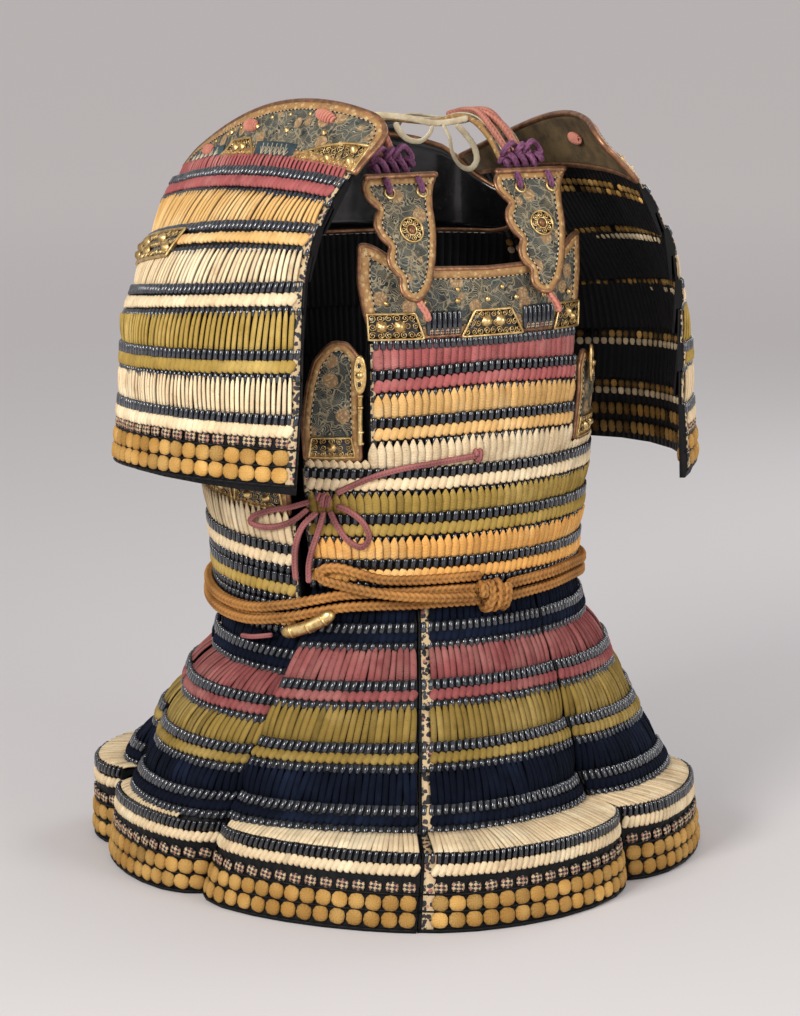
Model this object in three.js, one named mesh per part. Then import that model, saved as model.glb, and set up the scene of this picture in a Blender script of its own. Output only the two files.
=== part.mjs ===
// Lamellar armour: a laced cuirass with chest, back and side plates, shoulder straps, leaf plates,
// two curved shoulder guards, an eight-piece flared skirt, and the cords and rope that tie it.
// Millimetres, +Z up. The wearer faces -Y, so the wearer's right is at -X. The origin is on the
// floor at the middle of the skirt's hem.
import * as THREE from 'three';

// ---------------------------------------------------------------- driving dimensions

const ROW_DEPTH = 29;                         // from the tops of the scales to the row's lower edge
const SEAM = 0.7;                             // clear space between a row's foot and the next lacing
const OPENING_ANGLE = 41;                     // half of the chest's width, in degrees round
const WRAP_START = -61;                       // where the wrapped rows begin, at the laced opening
const WRAP_END = 297;                         // and where they end, just behind their beginning
const STATION_ANGLES = [0, 13, 27, 41, 42.2, 51, 61, 70, 80, 90, 103, 116, 128, 138.8, 140, 153, 167, 180];

// Heights of the tops of the scales. A chest row arches up by `arch` at its middle.
const FRONT_ROWS = [
  { name: 'front_row_upper', head: 516, arch: 5, colour: 'rose' },
  { name: 'front_row_lower', head: 470, arch: 3, colour: 'amber' },
];
const BACK_ROWS = [
  { name: 'back_row_1', head: 596, halfAngle: 66, colour: 'rose' },
  { name: 'back_row_2', head: 547, halfAngle: 62, colour: 'rose' },
  { name: 'back_row_3', head: 498, halfAngle: 44, colour: 'amber' },
  { name: 'back_row_4', head: 449, halfAngle: 40, colour: 'amber' },
];
const WRAP_ROWS = [
  { name: 'body_row_1', head: 421, sag: 'first', colour: 'white' },
  { name: 'body_row_2', head: 376, sag: 'second', colour: 'olive' },
  { name: 'body_row_3', head: 331, sag: 'third', colour: 'amber' },
];

// How far each wrapped row has dropped, and how far all of them stand out, by the angle round.
const SAG = [
  { angle: -90, first: 0, second: 0, third: 0, spread: 0 },
  { angle: 103, first: 0, second: 0, third: 0, spread: 0 },
  { angle: 140, first: 10, second: 8, third: 6, spread: 0 },
  { angle: 180, first: 20, second: 15, third: 11, spread: 2 },
  { angle: 207, first: 34, second: 26, third: 19, spread: 5 },
  { angle: 240, first: 63, second: 49, third: 34, spread: 8 },
  { angle: 297, first: 78, second: 63, third: 48, spread: 6 },
];

// Half sizes of the body's inner line at each height: side, front and back, and how square it is.
const TORSO = [
  { z: 200, side: 181, front: 152, back: 150, square: 2.0 },
  { z: 290, side: 177, front: 148, back: 147, square: 2.0 },
  { z: 350, side: 183, front: 151, back: 149, square: 2.05 },
  { z: 420, side: 189, front: 152, back: 152, square: 2.15 },
  { z: 480, side: 191, front: 155, back: 155, square: 2.3 },
  { z: 560, side: 191, front: 155, back: 157, square: 2.3 },
  { z: 640, side: 188, front: 153, back: 157, square: 2.3 },
  { z: 760, side: 180, front: 150, back: 150, square: 2.3 },
];

// A row of scales in section: distance below the tops of the scales, and distance out.
const SCALE_FACE = 9.2;
const ROW_FOOT = 6.6;
const BAND = { outer: 6.7, footOuter: 5.6, inner: 4.9, footInner: 3.8 };
const TUCK = { from: 3.2, depth: 54, outer: 0.5, inner: -1.5 };
const SHORT_BAND = 6;                         // lacing that shows above a row with no row over it
const CHEST_BAND = 26;
const LOOSE_BAND = 27;                        // the slack lacing over the loose back end
const BACK_BAND = 20;
const BACK_SAG = { from: 20, share: 0.5 };    // the back rows follow this share of the sag beyond

// The leather-faced plates: heights of their upper and lower edges at angles round.
const CHEST_PLATE = [
  { angle: -44, top: 636, foot: 600 }, { angle: -42, top: 637, foot: 566 },
  { angle: -39, top: 633, foot: 545 }, { angle: -33, top: 621, foot: 545 },
  { angle: -22, top: 613, foot: 546.5 }, { angle: 0, top: 611, foot: 548 },
];
const BACK_PLATE = [
  { angle: 110, top: 650, foot: 636 }, { angle: 112.5, top: 661, foot: 622 },
  { angle: 118, top: 667, foot: 618 }, { angle: 124, top: 679, foot: 618 },
  { angle: 129, top: 695, foot: 618 }, { angle: 134, top: 707, foot: 618 },
  { angle: 143, top: 716, foot: 618 }, { angle: 158, top: 724, foot: 618 },
  { angle: 180, top: 727, foot: 618 },
];
// A side plate's foot is given as the height over the tops of the scales that it stands on.
const SIDE_PLATES = [
  {
    name: 'side_plate_right_front',
    edge: [
      { angle: -60.5, top: 462, foot: 8 }, { angle: -59.5, top: 492, foot: 7 },
      { angle: -57, top: 524, foot: 7 }, { angle: -52, top: 544, foot: 7 },
      { angle: -47, top: 543, foot: 7 }, { angle: -43.5, top: 528, foot: 8 },
    ],
  },
  {
    name: 'side_plate_left',
    edge: [
      { angle: 44, top: 504, foot: 8 }, { angle: 47, top: 520, foot: 7 },
      { angle: 54, top: 511, foot: 7 }, { angle: 66, top: 486, foot: 7 },
      { angle: 80, top: 474, foot: 7 }, { angle: 94, top: 472, foot: 7 },
      { angle: 108, top: 484, foot: 7 }, { angle: 118, top: 504, foot: 7 },
      { angle: 126, top: 508, foot: 7 }, { angle: 131, top: 490, foot: 8 },
    ],
  },
  {
    name: 'side_plate_right_back',
    edge: [
      { angle: 236, top: 452, foot: 30 }, { angle: 240, top: 462, foot: 29 },
      { angle: 250, top: 452, foot: 29 }, { angle: 262, top: 444, foot: 29 },
      { angle: 274, top: 446, foot: 29 }, { angle: 285, top: 452, foot: 29 },
      { angle: 292, top: 438, foot: 29 }, { angle: 295, top: 420, foot: 30 },
    ],
  },
];
const PLATE_WALL = { inner: 4.4, outer: 7.8 };

// The shoulder straps, from the back plate over the shoulder to the leaf plates.
const STRAP = [
  { x: 78, y: 173, z: 672, half: 20 }, { x: 78, y: 173, z: 709, half: 20 },
  { x: 78, y: 161, z: 731, half: 19 }, { x: 77, y: 130, z: 738, half: 18 },
  { x: 76, y: 80, z: 738, half: 17 }, { x: 75, y: 30, z: 739, half: 16 },
  { x: 74, y: -10, z: 746, half: 15 }, { x: 73, y: -42, z: 744, half: 15 },
  { x: 73, y: -72, z: 729, half: 15 }, { x: 73, y: -94, z: 708, half: 15 },
];
const STRAP_THICKNESS = 6;
const KNOT = { y: -108, z: 710, halfWidth: 27, halfDepth: 8.5, halfHeight: 7.5 };

// The leaf plates hang from the straps and slope out to their tips. `flat` points run clockwise.
const LEAF = { x: 74, topY: -123, topZ: 700, tipY: -175, tipZ: 584, thickness: 3 };
const LEAF_OUTLINE = [
  { to: [-39, 3] }, { to: [-31, 34], by: [-48, 20] }, { to: [-28, 71], by: [-50, 52] },
  { to: [-24, 102], by: [-40, 88] }, { to: [-14, 126], by: [-30, 120] }, { to: [0, 118], by: [-5, 128] },
  { to: [21, 72], by: [14, 98] }, { to: [26, 34], by: [25, 56] }, { to: [39, 3], by: [33, 20] },
];

// The shoulder guards. Up is measured along the sheet from its foot. A guard leans in towards the
// neck as it rises, bows out by `bulge` between its two edges, and each row is skewed: `skew` is
// how much higher its front end stands than its middle.
const GUARD = { edgeX: 212, edgeZ: 408, halfChord: 163 };
const GUARD_SHAPE = [
  { up: 0, lean: 6, bulge: 86 }, { up: 145, lean: 1, bulge: 84 }, { up: 190, lean: 4, bulge: 60 },
  { up: 230, lean: 18, bulge: 33 }, { up: 270, lean: 34, bulge: 20 }, { up: 310, lean: 41, bulge: 22 },
  { up: 350, lean: 52, bulge: 42 }, { up: 400, lean: 64, bulge: 66 },
];
const GUARD_ROWS = [
  { name: 'row_1', head: 293, skew: 12, colour: 'rose' },
  { name: 'row_2', head: 235, skew: 20, colour: 'amber' },
  { name: 'row_3', head: 183, skew: 17, colour: 'white' },
  { name: 'row_4', head: 126, skew: 11, colour: 'olive' },
  { name: 'row_5', head: 69, skew: 6, colour: 'white' },
];
const GUARD_PLATE = {
  foot: 305, footSkew: 10, top: 350, topSkew: 31, corner: 30, backCorner: 16, thickness: 3.2, out: 7.5,
};
const GUARD_STATIONS = [-1, -0.88, -0.7, -0.48, -0.24, 0, 0.24, 0.48, 0.7, 0.88, 1];
const GUARD_PLATE_STATIONS = [-1, -0.985, -0.93, -0.84, -0.55, -0.28, 0, 0.28, 0.55, 0.84, 0.93, 0.985, 1];
// The left guard hangs lower, further forward and turned a little.
const GUARD_SIDES = [
  { word: 'right', side: -1, place: [0, 0, 0], turn: 0 },
  { word: 'left', side: 1, place: [8, -20, -18], turn: 2 },
];
// The gilt bar on each guard's second row, from across to across.
const GUARD_BAR = { from: 0.1, to: 0.92, drop: 10.5, depth: 14, thickness: 2.6, clear: 0.6 };

// The skirt's outer face, from the top down: heights of each row's head and foot, their half sizes
// to the front and the side, the share of the sag, and the share of the hem's lobes.
const SKIRT_ROWS = [
  { head: 268, foot: 243, front: 161, side: 192, footFront: 166, footSide: 198, sag: 0.62, lobe: 0 },
  { head: 216, foot: 190, front: 179, side: 224, footFront: 188, footSide: 234, sag: 0.4, lobe: 0.12 },
  { head: 160, foot: 134, front: 200, side: 256, footFront: 211, footSide: 268, sag: 0.2, lobe: 0.38 },
  { head: 106, foot: 81, front: 225, side: 286, footFront: 238, footSide: 300, sag: 0.05, lobe: 0.76 },
];
const HEM = { head: 71, rim: 75, lip: 4, front: 284, side: 310, footFront: 292, footSide: 318 };
const SKIRT_TOP = { z: 314, out: -5.5, kneeZ: 299, kneeOut: -2.2, wall: 3 };
const SKIRT_WALL = 5;
const STEP = 3.6;                             // how far a row of scales stands over the lacing above

// The eight skirt pieces: where each begins and ends round the waist and round the hem, how far
// its hem stands in or out at the two ends and the middle, how far each end curls in, and how far
// its hem row is lifted.
const SKIRT_PIECES = [
  {
    name: 'skirt_front', waist: [-25, 25], hem: [-28, 28],
    ends: [14, -26], middle: 8, curl: [6, 14], lift: 0,
  },
  {
    name: 'skirt_front_left', waist: [25, 64], hem: [28, 78],
    ends: [-20, -6], middle: -4, curl: [14, 24], lift: 0,
  },
  {
    name: 'skirt_left', waist: [64, 105], hem: [78, 119],
    ends: [-16, -16], middle: -13, curl: [20, 18], lift: 12,
  },
  {
    name: 'skirt_back_left', waist: [105, 153], hem: [119, 159.5],
    ends: [-6, -4], middle: 10, curl: [20, 20], lift: 8,
  },
  {
    name: 'skirt_back', waist: [153, 207], hem: [159.5, 200.5],
    ends: [0, 0], middle: 6, curl: [16, 16], lift: 4,
  },
  {
    name: 'skirt_back_right', waist: [207, 254], hem: [200.5, 241],
    ends: [-2, -4], middle: 22, curl: [20, 16], lift: 12,
  },
  {
    name: 'skirt_right', waist: [254, 298.5], hem: [241, 282],
    ends: [-12, -36], middle: -22, curl: [10, 18], lift: 0,
  },
  {
    name: 'skirt_front_right', waist: [298.5, 335], hem: [282, 332],
    ends: [-36, 12], middle: -16, curl: [18, 2], lift: 0,
  },
];
const SKIRT_GAP = 1.6;                        // clear space between neighbouring pieces
const SKIRT_STATIONS = [-1, -0.86, -0.62, -0.3, 0, 0.3, 0.62, 0.86, 1];

// The rope belt. Points of cords on the body: degrees round, height, distance out from its inner line.
const BELT = { diameter: 10.6, pitch: 12.4, steps: 60 };
const BELT_TURN = [
  [-2.5, 299, 15.3], [-14, 300, 15.3], [-28, 299.5, 15.3], [-41, 299, 15.3], [-50, 297, 16], [-58, 292, 20],
  [-66, 286, 23.4], [-78, 279, 23.6], [-90, 280, 23.6], [-103, 286, 23.6], [-120, 291, 23.6],
  [-140, 295, 22], [-160, 297, 20], [-180, 297, 17.6], [-200, 297, 16.4], [-220, 297, 15.6],
  [-240, 297, 15.3], [-260, 298, 15.3], [-280, 299, 15.3], [-298, 301, 15.3], [-315, 304, 15.3],
  [-330, 302, 15.3], [-350.5, 299, 15.3],
];
const BELT_KNOT = { angle: 3.5, z: 292, out: 19, half: [16, 11, 15] };
const BELT_BIGHT = [
  [-2.5, 311.5, 15.5], [-14, 311.5, 15.5], [-28, 311.5, 15.5], [-38, 313, 15.5], [-45, 319, 15.8],
  [-51, 324, 15.8], [-56, 321, 15.8], [-56, 313, 16.5], [-51, 308.5, 20], [-44, 304, 25],
  [-34, 299, 27], [-22, 295.5, 27], [-12, 294, 27], [-6.5, 293, 26.5],
];
const BELT_BIGHT_STEPS = 30;
const BELT_END_DIAMETER = 13;
const BELT_END = [[-67, 258, 25], [-63, 262, 26], [-58, 269, 28], [-54, 277, 29.5], [-52, 283, 30]];
const TIE_DIAMETER = 6;
const TIE_RUN = [
  [-4, 430, 12.8], [-12, 428, 12.8], [-22, 425, 12.8], [-32, 421, 13], [-41, 413, 13.2],
  [-46, 406, 13.4], [-51, 398, 14],
];
const TIE_KNOT = { angle: -54.5, z: 391, out: 16, half: [8, 6, 7.5] };
const TIE_LOOP_RIGHT = [
  [-58.6, 389, 17], [-64, 383, 19.5], [-70, 378, 21], [-75.5, 370, 22.5], [-76.5, 364.5, 22.5],
  [-73, 361, 22], [-67, 364, 20], [-62.5, 372, 17.5], [-59.3, 381.5, 15.2],
];
const TIE_LOOP_LEFT = [
  [-50.8, 386, 16], [-47, 380, 15], [-43, 368, 13.5], [-41.5, 354, 13], [-43.5, 345, 13],
  [-47.5, 350, 13.2], [-51, 366, 14], [-52.8, 380.5, 16],
];
const TIE_TAILS = [
  [[-56.2, 380, 20], [-60, 366, 25], [-62.5, 345, 24], [-63.2, 324, 23.5], [-63, 311, 24]],
  [[-54.6, 380, 15], [-56.5, 360, 14.5], [-58.8, 340, 14.8], [-59.8, 325, 16.5], [-59.4, 309, 22.5]],
];
const TIE_LOWER = [[-71.5, 253, 19.5], [-75, 250.5, 20], [-79, 248, 20.5], [-83, 247, 20.5]];
const TIE_LOWER_DIAMETER = 5;

// Cream leather ties between the two straps: a span with a bow, and a loop that hangs from it.
const STRAP_TIE_DIAMETER = 5;
const STRAP_TIE_SPAN = [
  [-56.5, -20, 750], [-37, -24, 751], [-10, -29, 748], [19, -33, 742], [38, -36, 743], [56.5, -38, 746],
];
const STRAP_TIE_BOW = [
  [14, -39.5, 740], [11, -38, 732], [1, -37, 725], [-12, -35, 727], [-21, -34, 735], [-25, -32.5, 744],
];
const STRAP_TIE_LOOP = [
  [26, -39, 741], [33, -40, 728], [37, -40, 711], [46, -41, 699], [56, -42, 696], [63, -43, 703],
  [61, -43, 716], [50, -42, 731], [40, -41.5, 740.5],
];

const TOGGLES = [
  { name: 'toggle_right', angle: -43.5, z: 514, out: 15 },
  { name: 'toggle_left', angle: 49, z: 506, out: 12 },
];
const TOGGLE = { halfWidth: 5, halfHeight: 17, thickness: 3 };
const ROD = { angle: -43.6, from: 446, to: 494, out: 12, diameter: 4.5 };

// ---------------------------------------------------------------- materials

const finish = (color, roughness, metalness = 0) =>
  new THREE.MeshStandardMaterial({ color, roughness, metalness });
const MATERIALS = {
  rose: finish(0xa8596b, 0.85), amber: finish(0xd09a50, 0.85), white: finish(0xe3d2b0, 0.85),
  olive: finish(0x8c8140, 0.85), navy: finish(0x1e2a48, 0.85), leather: finish(0x4a5560, 0.6),
  rope: finish(0xb97a3a, 0.8), bow: finish(0x9a5a5e, 0.8),
  purple: finish(0x7a4a72, 0.8), cream: finish(0xcfc3a0, 0.7), gilt: finish(0xb8924a, 0.35, 1),
};

// ---------------------------------------------------------------- shared shapes

const radians = THREE.MathUtils.degToRad;
const { lerp, clamp } = THREE.MathUtils;
const UPWARD = new THREE.Vector3(0, 0, 1);

/** The row of a table at a value between its entries, with every column in proportion. */
function between(table, key, value) {
  const found = table.findIndex((row) => row[key] >= value);
  const upper = Math.max(found < 0 ? table.length - 1 : found, 1);
  const [low, high] = [table[upper - 1], table[upper]];
  const share = clamp((value - low[key]) / (high[key] - low[key]), 0, 1);
  const columns = Object.keys(low).map((column) => [column, lerp(low[column], high[column], share)]);
  return Object.fromEntries(columns);
}

/** Triangles that close a ring of points with the given flat shape, turned as the ring runs. */
function capFaces(flat) {
  const area = THREE.ShapeUtils.area(flat);
  return THREE.ShapeUtils.triangulateShape(flat, []).map(([a, b, c]) => {
    const same = THREE.ShapeUtils.area([flat[a], flat[b], flat[c]]) * area > 0;
    return same ? [a, b, c] : [a, c, b];
  });
}

/** A geometry from points and triangles, with its faces pointing out. */
function solid(points, faces) {
  let volume = 0;
  for (const [a, b, c] of faces) volume += points[a].dot(points[b].clone().cross(points[c]));
  const index = volume > 0 ? faces.flat() : faces.flatMap(([a, b, c]) => [a, c, b]);
  const geometry = new THREE.BufferGeometry();
  const positions = points.flatMap((point) => point.toArray());
  geometry.setAttribute('position', new THREE.Float32BufferAttribute(positions, 3));
  geometry.setIndex(index);
  geometry.computeVertexNormals();
  return geometry;
}

/** A closed solid through equal rings of points. The first and last rings' flat shapes cut the ends. */
function loft(rings, flats) {
  const count = rings[0].length;
  const faces = [];
  for (let ring = 0; ring < rings.length - 1; ring++) {
    const here = ring * count;
    const next = here + count;
    for (let side = 0; side < count; side++) {
      const after = (side + 1) % count;
      faces.push([here + side, next + side, next + after], [here + side, next + after, here + after]);
    }
  }
  const end = (rings.length - 1) * count;
  faces.push(...capFaces(flats[0]));
  faces.push(...capFaces(flats[1]).map(([a, b, c]) => [end + a, end + c, end + b]));
  return solid(rings.flat(), faces);
}

/** A round cord through points, as a tube of flat-sided section. */
function cord(points, diameter, steps, sides = 8) {
  const circle = new THREE.Shape();
  for (let side = 0; side < sides; side++) {
    const turn = (side / sides) * 2 * Math.PI;
    const [x, y] = [Math.cos(turn) * diameter / 2, Math.sin(turn) * diameter / 2];
    if (side === 0) circle.moveTo(x, y);
    else circle.lineTo(x, y);
  }
  return new THREE.ExtrudeGeometry(circle, { steps, extrudePath: new THREE.CatmullRomCurve3(points) });
}

/** An egg-shaped knot with the given half sizes along, out and up, about a point. */
function knot(centre, half, turn) {
  const geometry = new THREE.SphereGeometry(1, 12, 8);
  geometry.scale(...half);
  geometry.rotateZ(turn);
  return geometry.translate(...centre.toArray());
}

const armour = new THREE.Group();

/** Adds one named piece to the armour. */
function add(name, geometry, material) {
  const mesh = new THREE.Mesh(geometry, MATERIALS[material]);
  mesh.name = name;
  armour.add(mesh);
}

// ---------------------------------------------------------------- the body

/** A point of the body at an angle round, a height, and a distance out from its inner line. */
function torsoPoint(angle, z, out) {
  const { side, front, back, square } = between(TORSO, 'z', z);
  const sin = Math.sin(radians(angle));
  const cos = Math.cos(radians(angle));
  const depth = cos > 0 ? front : back;
  const radius = (Math.abs(sin / side) ** square + Math.abs(cos / depth) ** square) ** (-1 / square);
  const normal = new THREE.Vector2(
    Math.sign(sin) * Math.abs(radius * sin) ** (square - 1) / side ** square,
    -Math.sign(cos) * Math.abs(radius * cos) ** (square - 1) / depth ** square,
  ).normalize();
  return new THREE.Vector3(radius * sin + out * normal.x, -radius * cos + out * normal.y, z);
}

/** The sag at an angle round, on the same turn as the wrapped rows. */
function sagAt(angle) {
  return between(SAG, 'angle', angle < WRAP_START - 1 ? angle + 360 : angle);
}

/** The angles of the body's stations from one angle to another, the two ends included. */
function stations(from, to) {
  const oneTurn = STATION_ANGLES.flatMap((angle) => [angle, -angle]);
  const all = [...oneTurn, ...oneTurn.map((angle) => angle + 360)];
  const inside = all.filter((angle) => angle > from + 1 && angle < to - 1);
  return [from, ...new Set(inside.sort((a, b) => a - b)), to];
}

/** The section of a row of scales, as distances below the tops of the scales and out. */
function rowSection(band, tucked, depth = ROW_DEPTH) {
  const foot = tucked
    ? [
      { down: depth, out: TUCK.from },
      { down: TUCK.depth, out: TUCK.outer },
      { down: TUCK.depth, out: TUCK.inner },
    ]
    : [{ down: depth, out: TUCK.inner + 2.5 }];
  return [
    { down: -band, out: BAND.outer }, { down: 0, out: BAND.footOuter }, { down: 0, out: SCALE_FACE },
    { down: depth - 6, out: SCALE_FACE }, { down: depth, out: ROW_FOOT }, ...foot,
    { down: 0, out: BAND.footInner }, { down: -band, out: BAND.inner },
  ];
}

/** The flat shape of a row's end. */
const flatRow = (section) => section.map(({ down, out }) => new THREE.Vector2(out, -down));

/** Height of the tops of a chest row's scales at an angle. */
const frontHead = ({ head, arch }, angle) => head + arch * Math.cos(radians(angle * 90 / OPENING_ANGLE));

/** Height of the tops of a back row's scales at an angle: the lowest row follows the sag most. */
function backHead(row, angle) {
  const share = BACK_SAG.share * (BACK_ROWS.indexOf(row) + 1) / BACK_ROWS.length;
  return row.head - share * Math.max(0, sagAt(angle).first - BACK_SAG.from);
}

/** Height of the tops of a wrapped row's scales at an angle. */
const wrapHead = ({ head, sag }, angle) => head - sagAt(angle)[sag];

/** A row of scales from one angle to another; `band` gives the lacing above it at an angle. */
function bodyRow(from, to, headAt, bandAt, tucked) {
  const angles = stations(from, to);
  const sections = angles.map((angle) => rowSection(bandAt(angle), tucked));
  const rings = angles.map((angle, index) => sections[index].map(({ down, out }) => {
    return torsoPoint(angle, headAt(angle) - down, out + sagAt(angle).spread);
  }));
  return loft(rings, [flatRow(sections[0]), flatRow(sections.at(-1))]);
}

/** Length of the lacing between the tops of a row's scales and the foot of the row above it. */
const bandUnder = (headAbove, head) => headAbove - ROW_DEPTH - SEAM - head;

function addBody() {
  FRONT_ROWS.forEach((row, index) => {
    const above = FRONT_ROWS[index - 1];
    const band = (angle) => (above ? bandUnder(frontHead(above, angle), frontHead(row, angle)) : CHEST_BAND);
    const shape = bodyRow(-OPENING_ANGLE, OPENING_ANGLE, (angle) => frontHead(row, angle), band, true);
    add(row.name, shape, row.colour);
  });
  BACK_ROWS.forEach((row, index) => {
    const above = BACK_ROWS[index - 1];
    const band = (angle) => (above ? bandUnder(backHead(above, angle), backHead(row, angle)) : BACK_BAND);
    const [from, to] = [180 - row.halfAngle, 180 + row.halfAngle];
    add(row.name, bodyRow(from, to, (angle) => backHead(row, angle), band, true), row.colour);
  });
  WRAP_ROWS.forEach((row, index) => {
    const band = (angle) => {
      const head = wrapHead(row, angle);
      if (index > 0) return bandUnder(wrapHead(WRAP_ROWS[index - 1], angle), head);
      const [front, back] = [FRONT_ROWS.at(-1), BACK_ROWS.at(-1)];
      if (Math.abs(angle) <= OPENING_ANGLE) return bandUnder(frontHead(front, angle), head);
      if (Math.abs(angle - 180) <= back.halfAngle) return bandUnder(backHead(back, angle), head);
      return angle > 180 ? LOOSE_BAND : SHORT_BAND;
    };
    const tucked = index < WRAP_ROWS.length - 1;
    const shape = bodyRow(WRAP_START, WRAP_END, (angle) => wrapHead(row, angle), band, tucked);
    add(row.name, shape, row.colour);
  });
}

/** A table of angles given for one half of the body, continued past its middle on the other half. */
function mirrored(table) {
  const middle = table.at(-1).angle;
  const rest = table.slice(0, -1).reverse();
  return [...table, ...rest.map((row) => ({ ...row, angle: 2 * middle - row.angle }))];
}

/** A thin plate that follows the body between an upper and a lower edge. */
function bodyPlate(edge) {
  const heights = ({ top, foot }) => [top, lerp(top, foot, 0.5), foot];
  const rings = edge.map((row) => {
    const spread = sagAt(row.angle).spread;
    const outer = heights(row).map((z) => torsoPoint(row.angle, z, PLATE_WALL.outer + spread));
    const inner = heights(row).map((z) => torsoPoint(row.angle, z, PLATE_WALL.inner + spread));
    return [...outer, ...inner.reverse()];
  });
  const flat = (row) => [
    ...heights(row).map((z) => new THREE.Vector2(PLATE_WALL.outer, z)),
    ...heights(row).reverse().map((z) => new THREE.Vector2(PLATE_WALL.inner, z)),
  ];
  return loft(rings, [flat(edge[0]), flat(edge.at(-1))]);
}

function addPlates() {
  add('chest_plate', bodyPlate(mirrored(CHEST_PLATE)), 'leather');
  add('back_plate', bodyPlate(mirrored(BACK_PLATE)), 'leather');
  for (const { name, edge } of SIDE_PLATES) {
    const standing = edge.map((row) => ({ ...row, foot: wrapHead(WRAP_ROWS[0], row.angle) + row.foot }));
    add(name, bodyPlate(standing), 'leather');
  }
}

// ---------------------------------------------------------------- straps and leaf plates

/** A shoulder strap: a flat band bent over the shoulder. */
function strap(side) {
  const rings = STRAP.map(({ x, y, z, half }, index) => {
    const before = STRAP[Math.max(index - 1, 0)];
    const after = STRAP[Math.min(index + 1, STRAP.length - 1)];
    const run = new THREE.Vector2(after.y - before.y, after.z - before.z).normalize();
    const [lift, back] = [-run.x * STRAP_THICKNESS / 2, run.y * STRAP_THICKNESS / 2];
    return [[-1, 1], [1, 1], [1, -1], [-1, -1]].map(([across, up]) => {
      return new THREE.Vector3(side * x + across * half, y + up * back, z + up * lift);
    });
  });
  const flat = [[-1, 1], [1, 1], [1, -1], [-1, -1]].map(([x, y]) => new THREE.Vector2(x, y));
  return loft(rings, [flat, flat]);
}

/** A leaf plate with scalloped edges, leaning out from its straight top to its tip. */
function leafPlate(x) {
  const outline = new THREE.Shape();
  LEAF_OUTLINE.forEach(({ to, by }, index) => {
    if (index === 0) outline.moveTo(to[0], -to[1]);
    else outline.quadraticCurveTo(by[0], -by[1], to[0], -to[1]);
  });
  const settings = { depth: LEAF.thickness, bevelEnabled: false, curveSegments: 4 };
  const geometry = new THREE.ExtrudeGeometry(outline, settings);
  geometry.translate(0, 0, -LEAF.thickness / 2);
  geometry.rotateX(Math.PI / 2 - Math.atan2(LEAF.topY - LEAF.tipY, LEAF.topZ - LEAF.tipZ));
  return geometry.translate(x, LEAF.topY, LEAF.topZ);
}

function addStraps() {
  for (const [word, side] of [['right', -1], ['left', 1]]) {
    add(`strap_${word}`, strap(side), 'leather');
    const centre = new THREE.Vector3(side * LEAF.x, KNOT.y, KNOT.z);
    add(`strap_knot_${word}`, knot(centre, [KNOT.halfWidth, KNOT.halfDepth, KNOT.halfHeight], 0), 'purple');
    add(`leaf_plate_${word}`, leafPlate(side * LEAF.x), 'leather');
  }
}

// ---------------------------------------------------------------- the skirt

/** One skirt piece: four rows of scales, and a hem row that stands out from them as a shelf. */
function skirtPiece({ waist, hem, ends, middle, curl, lift }) {
  const rings = SKIRT_STATIONS.map((across) => {
    const end = across < 0 ? 0 : 1;
    const turn = (z) => {
      const share = clamp(z / SKIRT_ROWS[0].head, 0, 1);
      const [from, to] = [lerp(hem[0], waist[0], share), lerp(hem[1], waist[1], share)];
      return lerp(from, to, (across + 1) / 2);
    };
    const run = lerp(ends[0], ends[1], (across + 1) / 2);
    const bow = (middle - (ends[0] + ends[1]) / 2) * (1 - across ** 2);
    const wave = run + bow - curl[end] * across ** 6;
    const place = (z, front, side, out, lobe) => {
      const angle = turn(z);
      const [sin, cos] = [Math.sin(radians(angle)), Math.cos(radians(angle))];
      const radius = 1 / Math.hypot(sin / side, cos / front) + wave * lobe + out;
      const shift = -SKIRT_GAP / 2 * Math.sign(across) * across ** 4;
      return new THREE.Vector3(radius * sin + shift * cos, -radius * cos + shift * sin, z);
    };
    const top = turn(SKIRT_TOP.z);
    const { third: drop, spread } = sagAt(waist[0] > WRAP_END ? top - 360 : Math.min(top, WRAP_END));
    const outer = [];
    const inner = [];
    for (const [z, out] of [[SKIRT_TOP.z, SKIRT_TOP.out], [SKIRT_TOP.kneeZ, SKIRT_TOP.kneeOut]]) {
      outer.push(torsoPoint(top, z - drop, out + spread));
      inner.push(torsoPoint(top, z - drop, out + spread - SKIRT_TOP.wall));
    }
    for (const row of SKIRT_ROWS) {
      const rise = lift * row.lobe - drop * row.sag;
      const [head, foot] = [row.head + rise, row.foot + rise];
      outer.push(place(head, row.front, row.side, -STEP, row.lobe));
      outer.push(place(head, row.front, row.side, 0, row.lobe));
      outer.push(place(foot, row.footFront, row.footSide, 0, row.lobe));
      outer.push(place(foot, row.footFront, row.footSide, -STEP, row.lobe));
      inner.push(place(head, row.front, row.side, -STEP - SKIRT_WALL, row.lobe));
      inner.push(place(foot, row.footFront, row.footSide, -STEP - SKIRT_WALL, row.lobe));
    }
    outer.push(place(HEM.head + lift, HEM.front, HEM.side, -HEM.lip, 1));
    outer.push(place(HEM.rim + lift, HEM.front, HEM.side, 0, 1), place(0, HEM.footFront, HEM.footSide, 0, 1));
    inner.push(place(HEM.head + lift - SKIRT_WALL, HEM.front, HEM.side, -SKIRT_WALL, 1));
    inner.push(place(0, HEM.footFront, HEM.footSide, -SKIRT_WALL, 1));
    return [...outer, ...inner.reverse()];
  });
  const flat = (ring) => ring.map((p) => new THREE.Vector2(Math.hypot(p.x, p.y), p.z));
  return loft(rings, [flat(rings[0]), flat(rings.at(-1))]);
}

function addSkirt() {
  for (const piece of SKIRT_PIECES) add(piece.name, skirtPiece(piece), 'navy');
}

// ---------------------------------------------------------------- the shoulder guards

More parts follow.
